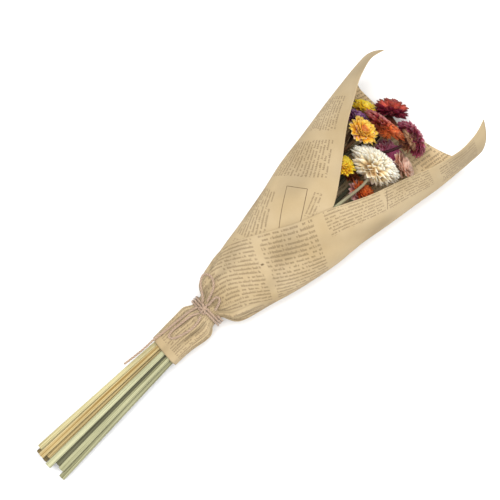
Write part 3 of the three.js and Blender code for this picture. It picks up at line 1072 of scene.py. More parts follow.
class PrintGraph(ShaderGraph):
    """The nodes of the printed paper, over the flat sheet's own map."""

    def __init__(self, roughness: float) -> None:
        """Starts the material and reads the places across and along the flat sheet."""
        super().__init__("printed_kraft", roughness)
        self.flat = self.flat_map()
        self.across, self.along, _ = self.split(self.flat)

    def cells(self, value: Term) -> tuple[Term, Term]:
        """The whole number in a value, and what is left of it."""
        return self.math("FLOOR", value), self.math("FRACT", value)

    def mask(self, level: Term, blocks: tuple) -> Term:
        """Where any of some blocks is.

        Args:
            level: the place across the rows.
            blocks: the blocks.

        Returns:
            1 inside a block, else 0.
        """
        inside = []
        for block in blocks:
            (near, far), (start, end) = block.across, block.along
            middle = (near + far) / 2
            straight = self.along - (level - middle) * block.lean
            beside = self.near(level, middle, (far - near) / 2)
            inside.append(beside * self.near(straight, (start + end) / 2, (end - start) / 2))
        return self.most(*inside)

    def marks(self, level: Term, size: PrintSize, form: StrokeForm) -> Term:
        """Rows of short upright strokes in groups, like print seen from too far to read.

        Args:
            level: the place across the rows.
            size: the size of the print.
            form: the form of its marks.

        Returns:
            1 on a stroke, else 0.
        """
        row, height = self.cells(level / size.row_pitch)
        row_start = self.dice(self.vector(row, *form.row_key))[0]
        cell, inside = self.cells(self.along / size.mark_pitch + row_start * form.row_shift)
        blank, tall, double, bar = self.dice(self.vector(cell, row, form.mark_key))
        body = self.near(height, *form.body)
        riser = self.near(height, *form.riser) * (tall > form.no_riser_share)
        faller = self.near(height, *form.faller) * (tall < form.faller_share)
        first = self.near(inside, *form.first) * self.most(body, riser)
        second = self.near(inside, *form.second) * self.most(body, faller)
        second = second * (double > form.single_share)
        bar_level = self.blend(bar > 0.5, *form.bar_levels)
        joint = self.near(height, bar_level, form.bar_reach) * self.near(inside, *form.bar)
        return self.most(first, second, joint) * (blank > form.blank_share)

    def line(self, rule: Rule) -> Term:
        """Where a thin printed line is.

        Args:
            rule: the line.

        Returns:
            1 on the line, else 0.
        """
        (a0, t0), (a1, t1) = rule.start, rule.end
        length = math.hypot(a1 - a0, t1 - t0)
        ahead, beside = (a1 - a0) / length, (t1 - t0) / length
        right, up = self.across - a0, self.along - t0
        run = self.near(right * ahead + up * beside, length / 2, length / 2)
        return run * self.near(right * beside - up * ahead, 0.0, rule.width / 2)


@dataclass(frozen=True)
class PaperFinish:
    """Brown wrapping paper, printed with rows of small dark marks that can't be read."""

    light: Colour = srgb("b3a080")
    dark: Colour = srgb("a6916d")
    ink: Colour = srgb("61503b")
    roughness: float = 0.85
    # painted light: how much lighter the inside of the roll is made towards the mouth
    painted_inside_light: float = 0.42
    # painted shade where the paper dips inwards, deepest in the folds of the gathers
    painted_fold_shade: float = 0.46
    hem: float = 0.006
    row_strength: float = 0.68
    least_ink: float = 0.6
    wear_share: float = 0.7
    wear_grain: Span = (420, 3)
    cloud_grain: Span = (26, 3)
    cloud_span: Span = (0.3, 0.7)
    fibre_grain: Span = (1800, 4)
    fibre_tone: float = 0.12
    least_tone: float = 0.94
    worn_grain: Span = (330, 4)
    crease_grain: Span = (90, 4)
    crease_fade: float = 16.0
    crease_size: float = 1.6
    relief: float = 0.0005
    stroke: StrokeForm = StrokeForm()
    sizes: tuple = (
        PrintSize(0.0037, 0.0017, (
            PrintBlock((0.0, 0.231), (-0.04, 0.0425)),
            PrintBlock((0.167, 0.2285), (0.045, 0.089), 0.06),
            PrintBlock((0.167, 0.2285), (0.0945, 0.1385), 0.075),
            PrintBlock((0.066, 0.163), (0.046, 0.0895)),
            PrintBlock((0.066, 0.163), (0.094, 0.139)),
            PrintBlock((0.056, 0.163), (0.243, 0.286)),
        )),
        PrintSize(0.0024, 0.0012, (
            PrintBlock((0.2105, 0.2295), (0.150, 0.196)),
            PrintBlock((0.2105, 0.2295), (0.199, 0.238)),
            PrintBlock((0.009, 0.016), (0.140, 0.160)),
            PrintBlock((0.062, 0.168), (0.150, 0.1955)),
            PrintBlock((0.062, 0.168), (0.199, 0.239)),
        )),
        PrintSize(0.0031, 0.0014, (PrintBlock((0.038, 0.066), (0.108, 0.149)),), 0.27, 0.124),
        PrintSize(0.0031, 0.0014, (
            PrintBlock((0.009, 0.058), (0.1665, 0.196), -0.28),
            PrintBlock((0.009, 0.042), (0.206, 0.234), -0.2),
            PrintBlock((0.030, 0.058), (0.047, 0.104)),
            PrintBlock((0.204, 0.2275), (0.2455, 0.279), 0.05),
        )),
    )
    rules: tuple = (
        Rule((0.0152, 0.1276), (0.0215, 0.1605)),
        Rule((0.0215, 0.1605), (0.0375, 0.157)),
        Rule((0.0375, 0.157), (0.0265, 0.118)),
        Rule((0.0265, 0.118), (0.0152, 0.1276)),
        Rule((0.212, 0.197), (0.228, 0.202), 0.0004),
        Rule((0.2036, 0.0903), (0.2044, 0.0927), 0.0014),
    )

    def print_on(self, graph: PrintGraph) -> Term:
        """How strong the ink is, from 0 for none to 1.

        Args:
            graph: the material's nodes.

        Returns:
            The strength.
        """
        rows = []
        for size in self.sizes:
            level = graph.across - (graph.along - size.pivot) * size.tilt
            rows.append(graph.marks(level, size, self.stroke) * graph.mask(level, size.blocks))
        clear_of_hem = graph.attribute("from_hem") > self.hem
        lines = [graph.line(rule) for rule in self.rules]
        return graph.most(graph.most(*rows) * clear_of_hem * self.row_strength, *lines)

    def material(self) -> Material:
        """Makes the material from the flat sheet's own map.

        Returns:
            The material, which reads the attributes from_hem, from_tie, fold and inside: fold for
            painted shade where the paper dips inwards, inside for painted light within the roll.
        """
        graph = PrintGraph(self.roughness)
        wear = graph.noise(graph.flat, *self.wear_grain)
        ink = self.print_on(graph) * (wear * self.wear_share + self.least_ink)
        fibres = graph.noise(graph.object_place(), *self.fibre_grain) * self.fibre_tone
        near_tie = graph.most(graph.attribute("from_tie") * -self.crease_fade + 1.0, 0.0)
        worn = graph.noise(graph.flat, *self.worn_grain) * near_tie * self.crease_size
        creases = worn + graph.noise(graph.flat, *self.crease_grain)
        clouds = graph.noise(graph.flat, *self.cloud_grain)
        paper = graph.ramp(clouds, list(zip(self.cloud_span, (self.dark, self.light))))
        paper = graph.shade(paper, fibres + self.least_tone)
        # painted shade where the paper dips inwards, by the attribute fold
        paper = graph.shade(paper, graph.attribute("fold") * -self.painted_fold_shade + 1.0)
        # painted light on the inside of the roll, growing towards the mouth
        paper = graph.shade(paper, graph.attribute("inside") * self.painted_inside_light + 1.0)
        return graph.finish(graph.mix(ink, paper, self.ink), fibres + creases, self.relief)


@dataclass
class PaperWrap:
    """One sheet of brown paper, rolled, gathered at the tie and open at the mouth.

    The top edge is lowest at lowest_place across the sheet, at mouth_back, and rises to both
    sides. painted_light_span is where painted light on the inside of the roll begins, and over
    what length it grows.
    """

    form: RollForm = field(default_factory=RollForm)
    finish: PaperFinish = PaperFinish()
    flat_width: float = 0.230
    flat_length: float = 0.300
    columns: int = 250
    neck_rows: int = 62
    upper_rows: int = 128
    skirt_end: float = -0.197
    skirt_wave: float = -0.0015
    skirt_waves: float = 1.5
    neck_top: float = -0.120
    mouth_back: float = 0.054
    left_rise: float = 0.030
    right_rise: float = 0.046
    left_power: float = 1.5
    right_power: float = 2.0
    lowest_place: float = 0.3
    # the inward dip at which the painted shade is full
    full_shade_fold_depth: float = 0.0012
    painted_light_span: Span = (-0.02, 0.05)

    def top_edge(self, place: Array) -> Array:
        """Where the sheet's top edge is along the bunch, at places across it."""
        to_left = np.clip((self.lowest_place - place) / self.lowest_place, 0, 1)
        to_right = np.clip((place - self.lowest_place) / (1 - self.lowest_place), 0, 1)
        left = self.left_rise * to_left**self.left_power
        return self.mouth_back + left + self.right_rise * to_right**self.right_power

    def rows(self, place: Array) -> Array:
        """The places along the bunch of each row of the mesh.

        Args:
            place: the places across the sheet, 0 to 1.

        Returns:
            The places, by row and column.
        """
        start = self.skirt_end + self.skirt_wave * np.cos(place * self.skirt_waves * TURN)
        neck = np.linspace(0, 1, self.neck_rows, endpoint=False)[:, None]
        upper = np.linspace(0, 1, self.upper_rows + 1)[:, None]
        lower_part = start + (self.neck_top - start) * neck
        upper_part = self.neck_top + (self.top_edge(place) - self.neck_top) * upper
        return np.vstack([lower_part, upper_part])

    def flat_map(self, middle: Array, place: Array) -> tuple[Array, Array]:
        """Places on the flat sheet, in metres, for each point of the mesh.

        Args:
            middle: the sheet's middle surface, by row and column.
            place: the place across of each column, 0 to 1.

        Returns:
            The place across and along, and the distance from the hem, by row and column.
        """
        step = np.diff(middle, axis=0)
        run = np.vstack([np.zeros((1, len(place))), np.cumsum(np.linalg.norm(step, axis=-1), axis=0)])
        base = self.neck_rows + self.upper_rows // 2
        tangent = step[base] / np.linalg.norm(step[base], axis=-1, keepdims=True)
        sideways = np.diff(middle[base], axis=0)
        lean = np.concatenate([[0], np.cumsum((sideways * (tangent[1:] + tangent[:-1]) / 2).sum(axis=-1))])
        along = run - run[base] + lean
        along -= along[0, len(place) // 2]
        across = np.broadcast_to(place * self.flat_width, along.shape)
        return np.stack([across, along], axis=-1), run

    def build(self) -> Thing:
        """Makes the sheet as a thin closed shell with its flat map.

        Returns:
            The sheet.
        """
        place = np.linspace(0, 1, self.columns + 1)
        x = self.rows(place)
        across = np.broadcast_to(place, x.shape)
        half = self.form.thickness / 2
        outer = self.form.point(across, x, half)
        inner = self.form.point(across, x, -half)
        flat, from_hem = self.flat_map((outer + inner) / 2, place)
        mesh = closed_shell("paper_sheet", outer, inner, flat)
        # fold grows from 0 to 1 as the paper dips inwards, for the painted shade in its folds
        fold = np.clip(-self.form.crumple(self.form.angle(across, x), x) / self.full_shade_fold_depth, 0, 1)
        from_tie = np.abs(x - TIE_X)
        # painted light on the inside of the roll, from nothing to full towards the mouth
        start, length = self.painted_light_span
        pale = np.clip((x - start) / length, 0, 1)
        values = {
            "from_hem": (from_hem, from_hem),
            "fold": (fold, fold),
            "from_tie": (from_tie, from_tie),
            "inside": (np.zeros_like(x), pale),
        }
        for name, sides in values.items():
            layer = mesh.attributes.new(name, "FLOAT", "POINT")
            layer.data.foreach_set("value", np.concatenate(sides, axis=None))
        mesh.materials.append(self.finish.material())
        piece = hand_over(place_in_scene("paper_sheet", mesh), "paper_wrap")
        return piece


@dataclass(frozen=True)
class StalkFinish:
    """A dry ribbed stalk, browner towards its head, with painted shade on its underside and sides and in the
    valleys between its ribs.
    """

    name: str
    base: Colour
    shade: Colour
    light: Colour
    near_head: Colour = srgb("5a4029")
    brown_span: Span = (0.042, 0.02)
    stops: Point = (0.36, 0.52, 0.72)
    streak_grain: Span = (1, 4)
    streaks_round: float = 3.4
    streaks_along: float = 7.0
    streak_shift: float = 7.3
    patch_grain: Span = (30, 2)
    patch_tone: float = 0.3
    # painted shade: how much darker the valleys between the ribs are
    painted_rib_shade: float = 0.5
    least_tone: float = 0.45
    relief: float = 0.0003
    # painted shade: the tone of the parts that face sideways or down, rising to 1 as they face up
    painted_flank_shade: float = 0.42
    roughness: float = 0.7

    def material(self) -> Material:
        """Makes the material, streaked along the stalk.

        Returns:
            The material, which reads the attributes that the stalk's tree stores.
        """
        graph = ShaderGraph(self.name, self.roughness)
        to_head = graph.attribute("to_head")
        along = to_head * self.streaks_along + graph.attribute("number") * self.streak_shift
        across = [graph.attribute(name) * self.streaks_round for name in ("side_x", "side_y")]
        streaks = graph.noise(graph.vector(*across, along), *self.streak_grain)
        colour = graph.ramp(streaks, list(zip(self.stops, (self.shade, self.base, self.light))))
        colour = graph.mix(graph.fade(to_head, *self.brown_span), colour, self.near_head)
        patches = graph.noise(graph.object_place(), *self.patch_grain) * self.patch_tone
        # painted shade in the valleys between the ribs, by the attribute rib
        tone = patches + (graph.attribute("rib") * self.painted_rib_shade + self.least_tone)
        # painted shade: darker where the stalk faces sideways or down, by the attribute up
        painted_flank_shade = graph.most(graph.attribute("up") + self.painted_flank_shade, self.painted_flank_shade)
        # the stalk's tone is partly its own colour, partly painted shade on stalks deep in the bundle
        tone = tone * graph.attribute("tone") * graph.math("MINIMUM", painted_flank_shade, 1.0)
        return graph.finish(graph.shade(colour, tone), streaks, self.relief)


@dataclass(frozen=True)
class Blade:
    """The shape of one bract: where it is widest, how wide its root is, its cup and its curl."""

    widest: float = 0.62
    root_width: float = 0.4
    cup: float = 0.1
    curl: float = 0.1
    thickness: float = 0.02
    rows: int = 6
    tip: float = 0.985
    point_power: float = 0.75

    def width_at(self, t: Array) -> Array:
        """Half the width along the blade, with its greatest width 1."""
        swell = self.root_width + (1 - self.root_width) * np.sin(np.pi / 2 * np.clip(t / self.widest, 0, 1))
        point = np.cos(np.pi / 2 * np.clip((t - self.widest) / (1 - self.widest), 0, 1))
        return 0.5 * swell * point**self.point_power

    def build(self, name: str) -> Thing:
        """Makes the blade along +X as a thin closed shell, one unit long and wide.

        Args:
            name: the object's name.

        Returns:
            The blade.
        """
        t = np.linspace(0, 1, self.rows)
        t[-1] = self.tip
        side = np.array([[-1.0], [0.0], [1.0]])
        width = self.width_at(t)
        along = np.broadcast_to(t, (len(side), self.rows))
        height = self.curl * t**2 + self.cup * width * 2 * side**2
        grid = np.stack([along, width * side, height], axis=-1)
        lower = grid.copy()
        lower[..., 2] -= self.thickness * np.sin(np.pi * np.clip(t, 0.1, 1))
        flat = np.stack([np.broadcast_to(0.5 + 0.5 * side, along.shape), along], axis=-1)
        return place_in_scene(name, closed_shell(name, grid, lower, flat))


class BladeShape(Enum):
    """The bract shapes that the heads use."""

    TILE = Blade(widest=0.62, root_width=0.5, cup=0.16, curl=0.24)
    LANCE = Blade(widest=0.5, root_width=0.5, cup=0.14, curl=0.14)
    FRINGE = Blade(widest=0.45, root_width=0.6, cup=0.2, curl=0.12)
    SPOON = Blade(widest=0.76, root_width=0.45, cup=0.16, curl=0.14)
    ROLLED = Blade(widest=0.55, root_width=0.5, cup=0.22, curl=-0.25)


@dataclass(frozen=True)
class BractFinish:
    """Dry papery bracts, with a colour at the root, in the middle and at the tip.

    far_side is the colour that they take towards the right, over far_span on the Y axis.
    """

    name: str
    root: Colour
    middle: Colour
    tip: Colour
    far_side: Colour = None
    far_span: Span = (0.012, -0.001)
    root_at: float = 0.12
    middle_at: float = 0.6
    tip_at: float = 0.97
    streak_grain: Span = (2.2, 3)
    streaks_across: float = 9.0
    streak_shift: float = 50.0
    streak_tone: float = 0.4
    tint_tone: float = 0.3
    least_tone: float = 0.66
    relief: float = 0.0003
    roughness: float = 0.45

    def material(self) -> Material:
        """Makes the material, streaked along each bract.

        Returns:
            The material, which reads the attribute tint.
        """
        graph = ShaderGraph(self.name, self.roughness, {
            "Subsurface Weight": 0.3,
            "Subsurface Radius": (1.0, 0.7, 0.5),
            "Subsurface Scale": 0.0012,
        })
        side, along, _ = graph.split(graph.flat_map())
        tint = graph.attribute("tint")
        places = (self.root_at, self.middle_at, self.tip_at)
        colour = graph.ramp(along, list(zip(places, (self.root, self.middle, self.tip))))
        if self.far_side is not None:
            across = graph.split(graph.object_place())[1]
            colour = graph.mix(graph.fade(across, *self.far_span), colour, self.far_side)
        spot = graph.vector(side * self.streaks_across, along, tint * self.streak_shift)
        streaks = graph.noise(spot, *self.streak_grain)
        tone = streaks * self.streak_tone + (tint * self.tint_tone + self.least_tone)
        return graph.finish(graph.shade(colour, tone), streaks, self.relief)


@dataclass(frozen=True)
class Whorl:
    """One kind of bract on a head, set in a spiral from its outer to its inner slope.

    reach is how far the bracts reach, as a share of the head's size, and root where they start,
    as a share of their reach. level is the height that they spread from, as a share of the
    head's. The slopes and jitter, which is how far a bract strays, are in degrees.
    """

    bracts: int
    width: float
    slopes: Span
    finish: BractFinish
    blade: BladeShape = BladeShape.LANCE
    root: float = 0.45
    level: float = 0.36
    reach: float = 1.05
    jitter: float = 6.0


@dataclass
class FlowerHead:
    """One dried flower head: a core and its whorls of bracts.

    faces is the way of its stalk, and bract_faces that of the flower where it is another.
    flat is its height as a share of its radius.
    """

    name: str
    middle: Point
    faces: Point
    radius: float
    flat: float
    whorls: tuple
    core: Colour
    bract_faces: Point = None
    seat_radius: float = 0.0028
    core_sides: int = 20
    core_profile: tuple = ((0.36, 0.22), (0.42, 0.5), (0.28, 0.74))
    core_top: float = 0.8
    core_roughness: float = 0.85
    core_grain: Span = (900, 3)
    core_shade: float = 0.4
    core_span: Span = (0.3, 0.7)
    core_relief: float = 0.0005

    def core_mesh(self) -> Mesh:
        """The core: a low dome on a flat seat.

        Returns:
            The mesh, with its seat at the origin.
        """
        height = self.radius * self.flat
        sides = self.core_sides
        turn = np.linspace(0, TURN, sides, endpoint=False)
        rings = [(self.seat_radius, 0.0), *((r * self.radius, z * height) for r, z in self.core_profile)]
        circles = [np.column_stack([r * np.cos(turn), r * np.sin(turn), np.full(sides, z)]) for r, z in rings]
        points = np.vstack([[(0, 0, 0)], *circles, [(0, 0, self.core_top * height)]])
        starts = [1 + sides * ring for ring in range(len(rings))]
        faces = []
        for i in range(sides):
            j = (i + 1) % sides
            faces.append((0, 1 + j, 1 + i))
            faces += [(low + i, low + j, high + j, high + i) for low, high in zip(starts, starts[1:])]
            faces.append((starts[-1] + i, starts[-1] + j, len(points) - 1))
        return mesh_from(self.name, points, faces)

    def core_material(self) -> Material:
        """A matt dried core in the head's own colour.

        Returns:
            The material.
        """
        graph = ShaderGraph(f"{self.name}_core", self.core_roughness)
        grain = graph.noise(graph.object_place(), *self.core_grain)
        dark = tuple(self.core_shade * c for c in self.core)
        colour = graph.ramp(grain, list(zip(self.core_span, (dark, self.core))))
        return graph.finish(colour, grain, self.core_relief)

    def build(self, growth: GrowthGraph, blades: dict, materials: dict, seed: int) -> Thing:
        """Grows the bracts on the core and puts the head where it belongs.

        Args:
            growth: the tree that sets bracts in a spiral.
            blades: the bract object for each blade shape.
            materials: finished materials by name, filled as they are needed.
            seed: the first seed of this head's random draws.

        Returns:
            The finished head.
        """
        height = self.radius * self.flat
        head = place_in_scene(f"flower_{self.name}", self.core_mesh())
        head.data.materials.append(self.core_material())
        for i, whorl in enumerate(self.whorls):
            finish = whorl.finish
            if finish.name not in materials:
                materials[finish.name] = finish.material()
            growth.use(head, {
                "Bracts": whorl.bracts,
                "Radius": self.radius * whorl.reach,
                "Height": height * (1 - whorl.level) * whorl.reach,
                "Root Level": height * whorl.level,
                "Outer Slope": math.radians(whorl.slopes[0]),
                "Inner Slope": math.radians(whorl.slopes[1]),
                "Root Share": whorl.root,
                "Width": whorl.width,
                "Jitter": math.radians(whorl.jitter),
                "Seed": seed * 10 + i,
                "Bract": blades[whorl.blade],
                "Material": materials[finish.name],
            })
        settle(head)
        seat = Vector(self.middle) - Vector(self.faces).normalized() * (0.5 * height)
        faces = Vector(self.bract_faces or self.faces).normalized()
        turn = Vector((0, 0, 1)).rotation_difference(faces).to_matrix().to_4x4()
        head.data.transform(Matrix.Translation(seat) @ turn)
        return hand_over(head, f"head_{self.name}")


@dataclass(frozen=True)
class BractSpiral:
    """How bracts are set round a head, and how far each of them strays.

    turn and roll are the greatest strays in radians, and reach and width the least and the
    greatest share. seed_step keeps the random draws of one whorl apart.
    """

    turn: float = 0.12
    roll: float = 0.3
    reach: Span = (0.92, 1.03)
    width: Span = (0.85, 1.15)
    seed_step: float = 100.0

    def tree(self) -> GrowthGraph:
        """The tree that sets bracts in a spiral, their tips on a half ellipsoid.

        Returns:
            The tree.
        """
        slopes = ("Outer Slope", "Inner Slope")
        floats = ("Radius", "Height", "Root Level", *slopes, "Root Share", "Width", "Jitter")
        inputs = {"Float": floats, "Int": ("Bracts", "Seed"), "Object": ("Bract",)}
        graph = GrowthGraph("bract_spiral", inputs)
        given = graph.given
        seeds = [given["Seed"] + self.seed_step * i for i in range(5)]
        line = graph.add("GeometryNodeMeshLine", {"Count": given["Bracts"]})
        index = graph.term("GeometryNodeInputIndex")
        low, high = [graph.math("SINE", given[name]) for name in slopes]
        slope = graph.math("ARCSINE", graph.blend(index / given["Bracts"], low, high))
        lean = slope + graph.chance(-1.0, 1.0, seeds[0]) * given["Jitter"]
        around = index * GOLDEN_ANGLE + graph.chance(-self.turn, self.turn, seeds[1])
        across, up = graph.math("COSINE", lean), graph.math("SINE", lean)
        flat_part, up_part = across / given["Radius"], up / given["Height"]
        distance = graph.math("SQRT", flat_part * flat_part + up_part * up_part)
        reach = graph.chance(*self.reach, seeds[2]) / distance
        root = reach * given["Root Share"]
        spot = graph.polar(root * across, around, root * up + given["Root Level"])
        placed = graph.add("GeometryNodeSetPosition", {"Geometry": line, "Position": spot})
        turn = graph.vector(graph.chance(-self.roll, self.roll, seeds[3]), lean * -1.0, around)
        spin = graph.add("FunctionNodeEulerToRotation", {0: turn})
        feeds = {"Object": given["Bract"]}
        bract = graph.term("GeometryNodeObjectInfo", feeds, "Geometry", transform_space="ORIGINAL")
        length = reach - root
        width = given["Width"] * graph.chance(*self.width, seeds[4])
        bracts = graph.scatter(placed, bract, spin, graph.vector(length, width, length))
        tinted = graph.store(bracts, "tint", graph.chance(0.0, 1.0, seeds[4]), "INSTANCE")
        graph.close(tinted, also=given["Geometry"])
        return graph


def papery(name: str, root: str, middle: str, tip: str, far_side: str = "", **more: object) -> BractFinish:
    """A bract finish from the web codes of its colours."""
    far = srgb(far_side) if far_side else None
    return BractFinish(name, srgb(root), srgb(middle), srgb(tip), far, **more)


CREAM = papery("cream_fringe", "e6c182", "faecca", "fffbea")
CREAM_BASE = papery("cream_base", "c88f4a", "f2d9aa", "fff5dc")
LEMON = papery("lemon_bracts", "e08c14", "fcca1c", "ffe850")
LEMON_BASE = papery("lemon_base", "8f4420", "cf6f1f", "e8a422")
GOLD = papery("gold_bracts", "dd8422", "f3b033", "f9cf5c")
GOLD_HEART = papery("gold_heart", "b03c16", "d25c20", "ea8c38")
GOLD_BASE = papery("gold_base", "a8543f", "dc9474", "f3d0a2")
PURPLE = papery("purple_bracts", "2c0e28", "552052", "8a4c8c")
YELLOW = papery("yellow_bracts", "e89c12", "ffd21c", "ffe640")
YELLOW_BASE = papery("yellow_base", "8f4a26", "c98a3a", "e0b84a")
CRIMSON = papery("crimson_bracts", "4c1020", "86222e", "b45c60", "c8542e")
CRIMSON_BASE = papery("crimson_base", "421710", "6e271c", "8c3c30", "e06c34")
CORAL = papery("coral_bracts", "6a1820", "e46454", "380c18", middle_at=0.48)
CORAL_BASE = papery("coral_base", "3c0e18", "66182a", "461424")
MAROON = papery("maroon_bracts", "3c101c", "782236", "b0607a")
MAROON_RIM = papery("maroon_rim", "8a4a3a", "681a2a", "94405a")
MAROON_BASE = papery("maroon_base", "d8b078", "e0b890", "7c3430")
MAGENTA = papery("magenta_bracts", "4a0c22", "9c2c4c", "d296a2", "cc5c86", far_span=(-0.004, -0.013))
PINK = papery("pink_bracts", "ac6a58", "dea68e", "f2ceb8")
RUST = papery("rust_bracts", "6e1e10", "c8481c", "e07034")
RUST_BASE = papery("rust_base", "6a3030", "a2625e", "d0a096")
LEAF = papery("dry_leaves", "3a1c14", "5e2e20", "86563a")
BROWN = papery("brown_bracts", "4a1a12", "803620", "a0582c")

FRINGE = BladeShape.FRINGE
ROLLED = BladeShape.ROLLED
SPOON = BladeShape.SPOON
TILE = BladeShape.TILE

HEADS = (
    FlowerHead(
        "cream_white", (0.0195, -0.010, 0.048), (0.98, 0.17, -0.11), 0.0215, 0.88,
        (Whorl(110, 0.0058, (-64, 26), CREAM_BASE, TILE, root=0.25, level=0.32, reach=0.96),
         Whorl(540, 0.0021, (-2, 86), CREAM, FRINGE, root=0.5)),
        srgb("d8b983"),
    ),
    FlowerHead(
        "lemon_yellow", (0.002, 0.008, 0.050), (0.86, 0.31, 0.4), 0.012, 0.75,
        (Whorl(36, 0.0042, (-50, 20), LEMON_BASE, TILE, root=0.25, level=0.3, reach=0.86),
         Whorl(130, 0.0026, (-4, 84), LEMON, root=0.4, reach=0.95)),
        srgb("b9792a"), bract_faces=(0.76, 0.2, 0.62),
    ),
    FlowerHead(
        "golden_orange", (0.030, 0.015, 0.0575), (0.76, 0.02, 0.65), 0.013, 0.7,
        (Whorl(36, 0.0044, (-40, 18), GOLD_BASE, TILE, root=0.25, level=0.3, reach=0.9),
         Whorl(84, 0.0034, (2, 48), GOLD, root=0.4, reach=1.1),
         Whorl(80, 0.002, (50, 86), GOLD_HEART, FRINGE, reach=0.92)),
        srgb("a85e22"),
    ),
    FlowerHead(
        "purple", (0.0355, 0.025, 0.0385), (0.9, 0.29, 0.32), 0.011, 0.6,
        (Whorl(160, 0.0026, (-20, 82), PURPLE, root=0.4, reach=1.16),),
        srgb("40182f"),
    ),
    FlowerHead(
        "second_yellow", (0.046, 0.026, 0.0185), (0.86, 0.31, 0.4), 0.011, 0.7,
        (Whorl(28, 0.004, (-30, 18), YELLOW_BASE, TILE, root=0.25, level=0.3, reach=1.0),
         Whorl(100, 0.0033, (-2, 84), YELLOW, root=0.35, reach=1.1)),
        srgb("b98a2a"),
    ),
    FlowerHead(
        "crimson", (0.046, 0.0055, 0.0395), (0.99, -0.11, 0.11), 0.0175, 0.45,
        (Whorl(110, 0.0046, (-74, 6), CRIMSON_BASE, TILE, root=0.25, level=0.3, reach=1.0),
         Whorl(250, 0.0028, (-8, 84), CRIMSON, reach=1.15),
         Whorl(50, 0.0026, (-84, -40), LEAF, root=0.2, level=0.1, reach=1.04, jitter=10),
         Whorl(70, 0.0042, (-60, -20), CRIMSON_BASE, TILE, root=0.2, level=0.14, reach=0.96)),
        srgb("401c16"), bract_faces=(0.985, 0.13, 0.08),
    ),
    FlowerHead(
        "coral_red", (0.061, 0.0105, 0.021), (0.93, 0.34, 0.16), 0.014, 0.9,
        (Whorl(30, 0.005, (-24, 14), CORAL_BASE, TILE, root=0.2, level=0.22, reach=1.06),
         Whorl(30, 0.006, (12, 78), CORAL, SPOON, root=0.15, level=0.3, reach=1.1, jitter=9),
         Whorl(52, 0.0032, (-86, -50), LEAF, root=0.2, level=0.1, reach=0.94, jitter=5)),
        srgb("7a2a2e"), bract_faces=(0.86, 0.49, 0.12),
    ),
    FlowerHead(
        "maroon", (0.0555, -0.016, 0.028), (0.95, -0.23, -0.23), 0.015, 0.6,
        (Whorl(90, 0.0054, (-66, 8), MAROON_BASE, TILE, root=0.18, level=0.25, reach=0.84),
         Whorl(110, 0.0042, (-12, 10), MAROON_RIM, ROLLED, root=0.42, reach=1.14),
         Whorl(170, 0.0032, (4, 84), MAROON, root=0.4, reach=1.1),
         Whorl(40, 0.0028, (-84, -50), LEAF, root=0.2, level=0.1, reach=1.12, jitter=8)),
        srgb("8a5a40"),
    ),
    FlowerHead(
        "magenta_pink", (0.0335, -0.012, 0.0155), (0.96, -0.24, 0.15), 0.013, 0.55,
        (Whorl(150, 0.0034, (-30, 60), MAGENTA, root=0.4, reach=1.14),
         Whorl(90, 0.0034, (32, 86), MAGENTA, root=0.25, reach=1.5),
         Whorl(70, 0.0034, (-6, 36), MAGENTA, root=0.3, level=0.6, reach=1.14)),
        srgb("5c2a48"), bract_faces=(0.76, -0.2, 0.62),
    ),
    FlowerHead(
        "pale_pink", (0.034, -0.026, 0.027), (0.85, -0.31, 0.42), 0.012, 0.65,
        (Whorl(44, 0.0052, (-8, 80), PINK, SPOON, root=0.25, reach=1.14),),
        srgb("c49a80"),
    ),
    FlowerHead(
        "rust_pink", (-0.003, -0.0185, 0.0395), (0.82, -0.01, 0.57), 0.011, 0.75,
        (Whorl(34, 0.0042, (-36, 14), RUST_BASE, TILE, root=0.25, level=0.3, reach=1.2),
         Whorl(80, 0.0032, (2, 80), RUST, root=0.25, level=0.3, reach=1.2)),
        srgb("7a3a24"),
    ),
    FlowerHead(
        "brown_rust", (0.001, -0.001, 0.0285), (0.91, 0.05, 0.4), 0.0095, 0.7,
        (Whorl(100, 0.0028, (-12, 82), BROWN, root=0.4, reach=1.18),),
        srgb("5a2c1c"),
    ),
)


@dataclass(frozen=True)
class StalkRoute:
    """Where one stalk runs, its material slot, its finish and how light it is: partly its own colour, partly
    painted shade on the stalks that lie deep in the bundle.
    """

    head: str
    slot: int
    via: Point
    material_slot: str
    finish: str
    tone: float = 1.0


